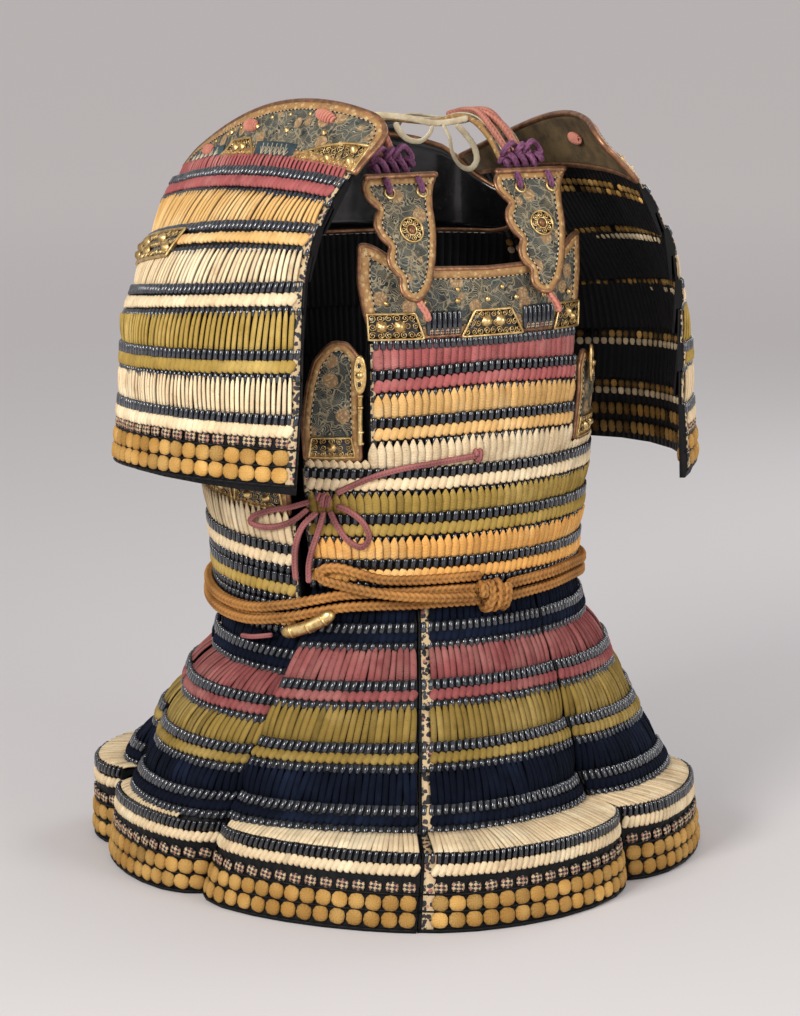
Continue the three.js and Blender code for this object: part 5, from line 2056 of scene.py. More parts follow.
@dataclass
class Cords:
    """The rope belt with its knot and gilt end, the closing cord's bow, and the strap ties."""

    knot: tuple = (1.6, 291, 19.5)
    knot_half: tuple = (21, 13, 17)
    bow_knot: tuple = (-54.5, 391, 16)
    bow_half: tuple = (8, 6, 7.5)
    rope: tuple = (6.0, 4, 0.46, 1.0)
    leather: tuple = (0, 0, 0, 0.42)

    def wraps(self, centre: tuple, half: tuple, turns: float, lean: float) -> list[Vector]:
        """A line that goes round and round a place on the body, upright.

        Args:
            centre: degrees round, height, distance out.
            half: half sizes along, out and up of the line.
            turns: how many times it goes round.
            lean: how far each turn shifts along, in millimetres.

        Returns:
            The line.
        """
        middle = TORSO.point(*centre)
        outward = (TORSO.point(centre[0], centre[1], centre[2] + 1) - middle).normalized()
        along = Vector((0, 0, 1)).cross(outward).normalized()
        line = []
        for step in range(int(turns * 16) + 1):
            turn = step / 16 * FULL_TURN
            shift = (step / 16 - turns / 2) * lean
            line.append(middle + along * shift + outward * math.cos(turn) * half[1]
                        + Vector((0, 0, 1)) * math.sin(turn) * half[2])
        return line

    def knots(self, bench: Bench) -> None:
        """The belt's knot: rope wound over both turns, with one end tucked across.

        Args:
            bench: where the shapes go.
        """
        _, out, up = self.knot_half
        wound = self.wraps(self.knot, (0, out - 5.5, up - 5.2), 3.2, 9.2)
        bench.add(Finish.ROPE, plait(smooth_line(wound, 120), 5.3, *self.rope[:3]))
        angle, z, depth = self.knot
        tucked = TORSO.line(((angle - 3, z - 9, depth + 1), (angle - 1, z - 2, depth + 6),
                             (angle + 2, z + 4, depth + 6), (angle + 4.5, z + 9, depth)))
        bench.add(Finish.ROPE, plait(smooth_line(tucked, 30), 5.0, *self.rope[:3]))

    def bow_knots(self, bench: Bench) -> None:
        """The bow's knot: cord wound round itself.

        Args:
            bench: where the shapes go.
        """
        _, out, up = self.bow_half
        wound = self.wraps(self.bow_knot, (0, out - 2.6, up - 2.6), 2.2, 5.4)
        bench.add(Finish.BOW, plait(smooth_line(wound, 70), 3.0, 3.4, 5, 0.16))
        start = self.wraps(TIE_RUN[0], (0, 3.4, 4.6), 1.7, 4.4)
        bench.add(Finish.BOW, plait(smooth_line(start, 70), 2.8, 3.4, 6, 0.16))

    def build(self) -> None:
        """Makes every cord, with the pieces on them."""
        knot = Bench("belt_wraps")
        self.knots(knot)
        knots = knot.make(["belt_knot"])
        end = Bench("belt_tip")
        tip = smooth_line(TORSO.line(BELT_END), 60)
        end.add(Finish.GILT, plait(tip, 6.6, 30, 2, 0.1))
        for share in (0.18, 0.5, 0.82):
            ring = spaced(tip, 1)[int(share * (len(spaced(tip, 1)) - 3)):][:3]
            end.add(Finish.GILT, swept(ring, lambda share, length: (7.2 + share * 0, share * 0), 18))
        ends = end.make(["belt_end"])
        low = tuple((angle, z - BELT_DROP, out) for angle, z, out in BELT_TURN)
        Run("belt_upper_turn", Finish.ROPE, BELT_TURN, 10.6, plait=self.rope).make(knots)
        Run("belt_lower_turn", Finish.ROPE, low, 10.6, plait=self.rope).make()
        Run("belt_bight", Finish.ROPE, BELT_BIGHT, 10.6, plait=self.rope).make(ends)
        bow = Bench("bow_wraps")
        self.bow_knots(bow)
        bows = bow.make(["tie_knot"])
        Run("tie_run", Finish.BOW, TIE_RUN, 6).make(bows)
        Run("tie_loop_right", Finish.BOW, TIE_LOOP_RIGHT, 6).make()
        Run("tie_loop_left", Finish.BOW, TIE_LOOP_LEFT, 6).make()
        Run("tie_tail_1", Finish.BOW, TIE_TAIL_1, 6, "bare", "hanging").make()
        Run("tie_tail_2", Finish.BOW, TIE_TAIL_2, 6, "bare", "hanging").make()
        Run("tie_lower", Finish.BOW, TIE_LOWER, 5).make()
        spans = (("strap_tie_span", STRAP_TIE_SPAN), ("strap_tie_bow", STRAP_TIE_BOW),
                 ("strap_tie_loop", STRAP_TIE_LOOP))
        for node, route in spans:
            Run(node, Finish.CREAM, route, 5, on_body=False, plait=self.leather).make()


# ---------------------------------------------------------------- plates and gilt work


@dataclass
class Panel:
    """A leather-faced plate: a surface, and where it begins and ends at each station."""

    name: str
    at: Surface
    stations: list[tuple[tuple, tuple]]
    face: float
    wall: float
    scale: float = 1.0

    def grid(self, out: float, count: int = 9) -> np.ndarray:
        """Points of the whole plate at a distance out.

        Args:
            out: distance out.
            count: points from foot to top.

        Returns:
            Stations by points by 3.
        """
        shares = np.linspace(0, 1, count)
        return np.array([[list(self.at(low[0] + (high[0] - low[0]) * share,
                                       low[1] + (high[1] - low[1]) * share, out))
                          for share in shares] for low, high in self.stations])

    def outline(self) -> np.ndarray:
        """The plate's outline in its own flat measure, closed and about 2 mm apart.

        Returns:
            Its points.
        """
        lows = [low for low, _ in self.stations]
        highs = [high for _, high in self.stations]
        loop = np.array([*lows, *reversed(highs)], float)
        loop[:, 0] *= self.scale
        loop = np.vstack([loop, loop[:1]])
        along = run_lengths(loop)
        at = np.linspace(0, along[-1], int(along[-1] / 2.0))[:-1]
        return np.stack([np.interp(at, along, loop[:, k]) for k in range(2)], 1)

    def inset(self, distance: float) -> list[tuple[float, float]]:
        """The outline moved in by a distance, its corners rounded.

        Args:
            distance: in millimetres.

        Returns:
            The places, in the surface's own measure.
        """
        loop = self.outline()
        for _ in range(2):
            loop = (np.roll(loop, 1, 0) + 2 * loop + np.roll(loop, -1, 0)) / 4
        run = np.roll(loop, -2, 0) - np.roll(loop, 2, 0)
        normal = np.stack([-run[:, 1], run[:, 0]], 1)
        normal /= np.linalg.norm(normal, axis=1)[:, None]
        area = np.sum(loop[:, 0] * np.roll(loop[:, 1], -1) - loop[:, 1] * np.roll(loop[:, 0], -1))
        moved = loop + normal * distance * math.copysign(1, area)
        for _ in range(3 if distance > 4 else 0):
            moved = (np.roll(moved, 1, 0) + 2 * moved + np.roll(moved, -1, 0)) / 4
        return [(x / self.scale, y) for x, y in moved]

    def loop_at(self, distance: float, out: float) -> list[Vector]:
        """The moved outline on the surface."""
        return [self.at(x, y, out) for x, y in self.inset(distance)]

    def build(self, bench: Bench, rim: float, border: float, outer: Finish = Finish.LEATHER,
              inner: Finish = Finish.LINING) -> None:
        """The plate's two faces, its metal rim, its tan border and the stitching.

        Args:
            bench: where the shapes go.
            rim: the rim's radius, or 0 for none.
            border: the border's width, or 0 for none.
            outer: the finish of its face.
            inner: the finish of its back.
        """
        middle = self.face - self.wall * 0.5
        bench.add(outer, shell(self.grid(self.face), self.grid(middle)))
        bench.add(inner, shell(self.grid(middle - 0.05), self.grid(self.face - self.wall)))
        if rim:
            bench.add(Finish.COPPER, tube(self.loop_at(rim * 0.35, middle), rim, 1, True))
        if border:
            lines = [self.loop_at(rim * 0.6 + border * share, self.face + 0.5 + swell)
                     for share, swell in ((0, 0.2), (0.5, 0.6), (1, 0.0))]
            front = np.array([[list(point) for point in (*line, line[0])] for line in lines])
            back = np.array([[list(point) for point in (*line, line[0])] for line in
                             (self.loop_at(rim * 0.6 + border * share, self.face - 0.2)
                              for share in (0, 0.5, 1))])
            bench.add(Finish.BORDER, shell(front, back))
            edge = self.loop_at(rim * 0.6 + border + 0.3, self.face + 0.5)
            self.stitches(bench, edge)

    def stitches(self, bench: Bench, loop: Sequence[Vector]) -> None:
        """Two-coloured stitches along a line on the plate.

        Args:
            bench: where the shapes go.
            loop: the closed line.
        """
        line = spaced([*loop, loop[0]], 2.7)
        stitch = pillow(1.3, 1.1, 3.5, 5, 4)
        places: list[list[Matrix]] = [[], []]
        for index, (a, b) in enumerate(zip(line, line[1:])):
            up = (b - a).normalized()
            turn = up.to_track_quat("Z", "Y").to_matrix().to_4x4()
            places[index % 2].append(Matrix.Translation((a + b) / 2) @ turn)
        bench.stamp(Finish.NAVY, stitch, places[0])
        bench.stamp(Finish.CREAM, stitch, places[1])


@dataclass
class GiltWork:
    """Framed openwork: curling gilt wires over a dark ground, with flower bosses."""

    bench: Bench
    at: Surface
    face: float
    scale: float = 1.0
    seed: int = 5
    boss: Shape = field(default_factory=lambda: rosette(5.2, 3.6, 8))

    def frame_at(self, x: float, y: float, out: float) -> Matrix:
        """Right, inward and up at a place on the surface.

        Args:
            x: across.
            y: up.
            out: distance out.

        Returns:
            The frame's matrix.
        """
        place = self.at(x, y, out)
        right = (self.at(x + 0.5 / self.scale, y, out) - place).normalized()
        up = (self.at(x, y + 0.5, out) - place).normalized()
        outward = (self.at(x, y, out + 1) - place).normalized()
        right = (right - outward * right.dot(outward)).normalized()
        inward = -outward
        up_true = right.cross(inward)
        if up_true.dot(up) < 0:
            up_true = -up_true
        return Matrix.Translation(place) @ Matrix((right, inward, up_true)).transposed().to_4x4()

    def curl(self, x: float, y: float, radius: float, hand: int, start: float) -> list[Vector]:
        """A spiral wire about a place, of one and a half turns.

        Args:
            x: across.
            y: up.
            radius: in millimetres.
            hand: 1 or -1, the way that it turns.
            start: where it starts, in radians.

        Returns:
            The wire's points.
        """
        line = []
        for step in range(13):
            share = step / 12
            turn = start + hand * share * 3.1 * math.pi
            away = radius * (0.16 + 0.84 * share)
            line.append(self.at(x + math.cos(turn) * away / self.scale,
                                y + math.sin(turn) * away, self.face + 1.1))
        return line

    def field(self, corners: Sequence[tuple], bosses: Sequence[tuple], cell: float = 7.5,
              rim: float = 1.25) -> None:
        """Openwork in a four-cornered place.

        Args:
            corners: (across, up) of its corners, low left first, then round.
            bosses: (share across, share up, size) of its flowers.
            cell: the size of one curl.
            rim: radius of its frame.
        """
        chance = random.Random(self.seed)
        a, b, c, d = (np.array(corner, float) for corner in corners)

        def spot(s: float, t: float) -> np.ndarray:
            """The place at a share across and a share up."""
            return a * (1 - s) * (1 - t) + b * s * (1 - t) + c * s * t + d * (1 - s) * t
        grid = [[spot(s, t) for t in np.linspace(0, 1, 4)] for s in np.linspace(0, 1, 9)]
        front = np.array([[list(self.at(*p, self.face + 0.5)) for p in row] for row in grid])
        back = np.array([[list(self.at(*p, self.face - 0.6)) for p in row] for row in grid])
        self.bench.add(Finish.LINING, shell(front, back))
        ring = [spot(s, t) for s, t in
                [*((v, 0) for v in np.linspace(0, 1, 14)), *((1, v) for v in np.linspace(0, 1, 6)),
                 *((v, 1) for v in np.linspace(1, 0, 14)), *((0, v) for v in np.linspace(1, 0, 6))]]
        line = spaced([self.at(*p, self.face + 1.2) for p in ring], 2.2)
        self.bench.add(Finish.GILT, tube(line[:-1], rim, 1, True))
        size = np.array([self.scale, 1.0])
        low = np.linalg.norm((b - a) * size)
        high = np.linalg.norm((c - d) * size)
        tall = np.linalg.norm(((d + c) - (a + b)) / 2 * size)
        rows = max(1, round(tall / cell))
        for row in range(rows):
            t = (row + 0.5) / rows
            wide = low * (1 - t) + high * t
            count = max(1, round(wide / cell))
            for column in range(count):
                s = (column + 0.5) / count
                place = spot(s, t)
                hand = 1 if (row + column) % 2 else -1
                start = chance.uniform(0, 6.28)
                radius = min(tall / rows, wide / count) * 0.5
                line = self.curl(*place, radius, hand, start)
                self.bench.add(Finish.GILT, tube(line, 0.5, 0))
        for s, t, wide in bosses:
            self.flower(*spot(s, t), wide)

    def flower(self, x: float, y: float, size: float = 1.0) -> None:
        """A domed flower boss.

        Args:
            x: across.
            y: up.
            size: 1 for full size.
        """
        scale = Matrix.Diagonal((size, size * 1.05, size, 1))
        self.bench.stamp(Finish.GILT, self.boss, [self.frame_at(x, y, self.face + 0.6) @ scale],
                         [0.4])

    def stud(self, x: float, y: float, size: float = 2.6) -> None:
        """A small domed stud."""
        self.bench.stamp(Finish.GILT, pillow(2 * size, 1.7 * size, 2 * size, 12, 8, 1.0),
                         [self.frame_at(x, y, self.face + 0.3)])


@dataclass
class Plates:
    """The chest, back and side plates with their rims, leather and gilt bands."""

    chest: tuple = ((-44, 636, 600), (-42, 637, 566), (-39, 633, 545), (-33, 621, 545),
                    (-22, 613, 546.5), (0, 611, 548))
    back: tuple = ((110, 650, 636), (112.5, 661, 622), (118, 667, 618), (124, 679, 618),
                   (129, 695, 618), (134, 707, 618), (143, 716, 618), (158, 724, 618),
                   (180, 727, 618))
    sides: tuple = (
        ("side_plate_right_front", ((-60.5, 462, 8), (-59.5, 492, 7), (-57, 524, 7),
                                    (-52, 544, 7), (-47, 543, 7), (-43.5, 528, 8))),
        ("side_plate_left", ((44, 504, 8), (47, 520, 7), (54, 511, 7), (66, 486, 7), (80, 474, 7),
                             (94, 472, 7), (108, 484, 7), (118, 504, 7), (126, 508, 7),
                             (131, 490, 8))),
        ("side_plate_right_back", ((236, 452, 30), (240, 462, 29), (250, 452, 29), (262, 444, 29),
                                   (274, 446, 29), (285, 452, 29), (292, 438, 29),
                                   (295, 420, 30))),
    )
    gilt: tuple = (
        (((-41, 0), (-24, 0), (-27, 1), (-41.5, 1)), ((0.25, 0.5, 1.3), (0.6, 0.5, 1.3))),
        (((-10.5, 0), (14.5, 0), (9.5, 1), (-5.5, 1)), ((0.36, 0.55, 1.25), (0.66, 0.55, 1.25))),
        (((28.5, 0), (41, 0), (41.5, 1), (31.5, 1)), ((0.5, 0.62, 1.0), (0.72, 0.4, 0.9))),
    )
    gilt_heights: tuple = (546.5, 571)
    scale_runs: tuple = ((-22.5, -11.5), (15.5, 27.5))
    studs: tuple = (-31, -12, 6, 24)
    face: float = 7.8
    wall: float = 3.4
    degree: float = 3.0

    def surface(self, angle: float, z: float, out: float) -> Vector:
        """The body's surface, with its spread where the rows stand out."""
        return TORSO.point(angle, z, out + SAG.at(angle, "spread"))

    def panel(self, name: str, edge: Sequence[tuple]) -> Panel:
        """A plate from (angle, top, foot), filled in between smoothly.

        Args:
            name: the plate's name.
            edge: its table.

        Returns:
            The plate.
        """
        angles = [row[0] for row in edge]
        count = max(10, int((angles[-1] - angles[0]) / 1.6))
        stations = []
        for angle in np.linspace(angles[0], angles[-1], count):
            top, foot = (float(np.interp(angle, angles, [row[k] for row in edge])) for k in (1, 2))
            stations.append(((float(angle), foot), (float(angle), top)))
        return Panel(name, self.surface, stations, self.face, self.wall, self.degree)

    def mirrored(self, edge: tuple) -> tuple:
        """A table for one half continued over the other."""
        middle = edge[-1][0]
        return (*edge, *((2 * middle - angle, top, foot) for angle, top, foot in edge[-2::-1]))

    def chest_band(self, bench: Bench) -> None:
        """Gilt trapezoids along the chest plate's foot, with scale heads between them.

        Args:
            bench: where the shapes go.
        """
        gilt = GiltWork(bench, self.surface, self.face + 1.7, self.degree)
        for corners, bosses in self.gilt:
            gilt.field([(angle, self.gilt_heights[level]) for angle, level in corners], bosses)
        head = pillow(5.0, 5.6, 24, 10, 8, 0.95, 0.6)
        knot = pillow(5.8, 4.2, 7.0, 8, 6, 0.85)
        for low, high in self.scale_runs:
            angles = np.linspace(low, high, 7)
            bench.stamp(Finish.LACQUER, head, [gilt.frame_at(a, 561, self.face + 2) for a in angles])
            between = [(a + b) / 2 for a, b in zip(angles, angles[1:])]
            bench.stamp(Finish.CHECKS, knot, [gilt.frame_at(a, 552.5, self.face + 2.8) for a in between])
        head = pillow(6.2, 5.2, 10.5, 10, 8, 0.95, 0.5)
        bench.stamp(Finish.LACQUER, head, [gilt.frame_at(a, 541.5, self.face + 1.4)
                                           for a in np.linspace(-39, 39, 38)])
        for angle in self.studs:
            gilt.stud(angle, 592, 2.4)
        for angle in np.linspace(-36, 36, 7):
            gilt.flower(float(angle), 581, 0.62)

    def build(self) -> None:
        """Makes every plate of the body."""
        bench = Bench("chest_plate")
        self.panel("chest_plate", self.mirrored(self.chest)).build(bench, 3.0, 8)
        self.chest_band(bench)
        bench.make(["chest_plate"])
        bench = Bench("back_plate")
        self.panel("back_plate", self.mirrored(self.back)).build(bench, 3.0, 8)
        bench.make(["back_plate"])
        for name, table in self.sides:
            edge = [(angle, top, 421 - SAG.at(angle, "first") + rise) for angle, top, rise in table]
            bench = Bench(name)
            self.panel(name, edge).build(bench, 2.8, 6)
            gilt = GiltWork(bench, self.surface, self.face, self.degree)
            angles = [row[0] for row in edge]
            low, high = angles[0] + 1.2, angles[-1] - 1.2
            cuts = np.linspace(low, high, max(1, round((high - low) / 22)) + 1)
            for a, b in zip(cuts, cuts[1:]):
                feet = [float(np.interp(v, angles, [row[2] for row in edge])) for v in (a, b)]
                gilt.field(((a + 0.6, feet[0] + 4), (b - 0.6, feet[1] + 4),
                            (b - 1.6, feet[1] + 23), (a + 1.6, feet[0] + 23)),
                           ((0.5, 0.5, 1.0),) if b - a < 16 else ((0.3, 0.5, 1.0), (0.7, 0.5, 1.0)))
            bench.make([name])


@dataclass
class Shoulders:
    """The straps, the knots in front of them, and the leaf plates that hang from them."""

    strap: tuple = ((78, 173, 672, 20), (78, 173, 709, 20), (78, 161, 731, 19), (77, 130, 738, 18),
                    (76, 80, 738, 17), (75, 30, 739, 16), (74, -10, 746, 15), (73, -42, 744, 15),
                    (73, -72, 729, 15), (73, -94, 708, 15))
    thickness: float = 6
    knot: tuple = (-108, 710)
    leaf_x: float = 74
    leaf_top: tuple = (-123, 700)
    leaf_lean: tuple = (0.409, 0.9126)
    medallion: tuple = (-2.0, -56.0)
    left: tuple = ((-39, 3), (-44.5, 11), (-43, 21), (-37, 28.5), (-31, 34), (-38, 41), (-40.5, 51),
                   (-36, 63), (-28, 71), (-33.5, 80), (-34, 89), (-30, 97), (-24, 102),
                   (-27, 110), (-26.5, 118), (-21, 124), (-14, 126.3))
    right: tuple = ((39, 3), (33, 12), (29, 22), (26.5, 34), (25.6, 48), (24, 60), (21, 72),
                    (17, 86), (11, 101), (5, 113), (0, 118), (-5, 123.5), (-10, 126))

    def strap_surface(self, side: int) -> tuple[Surface, float]:
        """A strap's surface: across from -1 to 1, along it in millimetres, and out.

        Args:
            side: -1 for the wearer's right, 1 for the left.

        Returns:
            The surface, and the strap's length.
        """
        line = smooth_line([(x, y, z) for x, y, z, _ in self.strap], 160)
        points = np.array([list(point) for point in line])
        along = run_lengths(points)
        halves = np.interp(np.linspace(0, 1, 161), np.linspace(0, 1, len(self.strap)),
                           [row[3] for row in self.strap])

        def at(across: float, length: float, out: float) -> Vector:
            """The strap's surface.

            Args:
                across: from -1 to 1.
                length: along the strap.
                out: distance out.

            Returns:
                The point.
            """
            def spot(v: float) -> Vector:
                """The middle line at a length."""
                return Vector([float(np.interp(v, along, points[:, k])) for k in range(3)])
            place = spot(length)
            run = (spot(min(length + 2, along[-1])) - spot(max(length - 2, 0))).normalized()
            up = Vector((1, 0, 0)).cross(run)
            if up.z < 0 or (abs(up.z) < 0.2 and up.y < 0 < place.y):
                up = -up
            half = float(np.interp(length, along, halves))
            place = place + up * out
            return Vector((side * (place.x + across * half), place.y, place.z))
        return at, float(along[-1])

    def strap_shapes(self, bench: Bench, side: int) -> None:
        """One strap: leather over and under, cream rolled edges, and salmon cords on top.

        Args:
            bench: where the shapes go.
            side: -1 for the wearer's right, 1 for the left.
        """
        at, length = self.strap_surface(side)
        stations = [((-0.96, v), (0.96, v)) for v in np.linspace(0.5, length - 0.5, 70)]
        half = self.thickness / 2
        panel = Panel("strap", at, stations, half, self.thickness, 16)
        panel.build(bench, 0, 0, Finish.LEATHER, Finish.LINING)
        for edge in (-0.92, 0.92):
            line = [at(edge, v, 0) for v in np.linspace(1, length - 1, 90)]
            bench.add(Finish.BORDER, tube(line, 3.1, 2))
            low = [at(edge * 0.74, v, half + 0.5) for v in np.linspace(4, length - 4, 90)]
            bench.add(Finish.CREAM, tube(low, 1.0, 1))
        start = length * 0.62
        for across, lean in ((-0.42, 0.25), (0.05, -0.3), (0.48, 0.2)):
            line = [at(across + lean * math.sin((v - start) * 0.05),
                       v, half + 3.4) for v in np.linspace(start, length - 2, 30)]
            bench.add(Finish.SALMON, plait(smooth_line(line, 60), 3.6, 5.2, 4, 0.26))

    def front_knot(self, bench: Bench, side: int) -> None:
        """The thick purple cords tied in front of a strap, in crossing loops.

        Args:
            bench: where the shapes go.
            side: -1 for the wearer's right, 1 for the left.
        """
        y, z = self.knot
        x0 = side * self.leaf_x
        for phase, drop in ((0.0, 0), (math.pi, 1)):
            line = [Vector((x0 + across, y + 4.2 * math.cos(across * 0.30 + phase),
                            z - 2 + 5.8 * math.sin(across * 0.30 + phase)))
                    for across in np.linspace(-23 + drop, 23 - drop, 26)]
            bench.add(Finish.PURPLE, plait(smooth_line(line, 100), 3.5, 4.6, 4, 0.24))
        for centre, wide, tall in ((-13, 9, 8), (11, 10, 9), (0, 7, 6.5)):
            ring = [Vector((x0 + centre + wide * math.cos(turn), y - 1 + 4 * math.sin(turn * 2),
                            z + 7 + tall * math.sin(turn)))
                    for turn in np.linspace(-0.5, math.pi + 0.5, 14)]
            bench.add(Finish.PURPLE, plait(smooth_line(ring, 60), 3.2, 4.6, 4, 0.24))

    def leaf_surface(self, side: int) -> Surface:
        """A leaf plate's surface: across, up (negative down from its top) and out.

        Args:
            side: -1 for the wearer's right, 1 for the left.

        Returns:
            The surface.
        """
        def at(x: float, up: float, out: float) -> Vector:
            """The leaning plane that the plate lies in."""
            sin, cos = self.leaf_lean
            y, z = self.leaf_top
            return Vector((side * self.leaf_x + x, y + sin * up - cos * out,
                           z + cos * up + sin * out))
        return at

    def leaf(self, bench: Bench, side: int) -> None:
        """One leaf plate with its rim, border, cord loops, medallion and lower cord.

        Args:
            bench: where the shapes go.
            side: -1 for the wearer's right, 1 for the left.
        """
        at = self.leaf_surface(side)
        left_x, left_d = np.array(self.left).T
        right_x, right_d = np.array(self.right).T
        stations = []
        for down in [3.2, *np.linspace(6, 126, 62)]:
            low = float(np.interp(down, left_d, left_x))
            high = float(np.interp(down, right_d, right_x))
            stations.append(((low, -down), (high, -down)))
        Panel("leaf", at, stations, 1.5, 3.0).build(bench, 2.3, 5.6)
        bar = [at(x, -1.5, 0.6) for x in np.linspace(-41, 41, 24)]
        bench.add(Finish.COPPER, plait(bar, 3.5, 40, 2, 0.04))
        gilt = GiltWork(bench, at, 1.7, seed=9)
        for x in (-18, 18):
            loop = [at(x - 1.5, -4, 3.4), at(x - 1.6, -8, 5.4), at(x - 0.4, -13, 5.6),
                    at(x + 0.8, -17, 3.6), at(x + 1.2, -18.5, 1.4)]
            bench.add(Finish.PURPLE, plait(smooth_line(loop, 40), 3.4, 5.0, 4, 0.25))
            bench.add(Finish.GILT, hoop(at, (x + 1, -18.5), (5.2, 5.2), 2.4, 1.3))
        centre = self.medallion
        for turn in np.linspace(0, FULL_TURN, 9)[:-1]:
            spot = (centre[0] + 8.4 * math.cos(turn), centre[1] + 8.4 * math.sin(turn))
            bench.add(Finish.GILT, tube(gilt.curl(*spot, 3.4, 1, turn), 0.62, 0))
        for radius, thick in ((12.2, 1.0), (5.4, 0.8)):
            bench.add(Finish.GILT, hoop(at, centre, (radius, radius), 2.6, thick, 40))
        disc = [[(centre[0] + radius * math.cos(t), centre[1] + radius * math.sin(t))
                 for t in np.linspace(0, FULL_TURN, 25)] for radius in (0.2, 6, 12)]
        front, back = (np.array([[list(at(*spot, out)) for spot in ring] for ring in disc])
                       for out in (2.1, 1.2))
        bench.add(Finish.LINING, shell(front, back))
        diamond = pillow(9, 4.5, 9, 4, 6, 0.9)
        bench.stamp(Finish.COPPER, diamond, [gilt.frame_at(*centre, 2.6)])
        tail = [at(-10, -117, -3.2), at(-8, -128, -2.4), at(-6, -138, 1.2), at(-3, -146, -1.2)]
        bench.add(Finish.SALMON, plait(smooth_line(tail, 50), 3.7, 4.6, 4, 0.28))

    def build(self) -> None:
        """Makes both shoulders."""
        for word, side in (("right", -1), ("left", 1)):
            bench = Bench(f"strap_{word}")
            self.strap_shapes(bench, side)
            bench.make([f"strap_{word}"])
            bench = Bench(f"strap_knot_{word}")
            self.front_knot(bench, side)
            bench.make([f"strap_knot_{word}"])
            bench = Bench(f"leaf_plate_{word}")
            self.leaf(bench, side)
            bench.make([f"leaf_plate_{word}"])


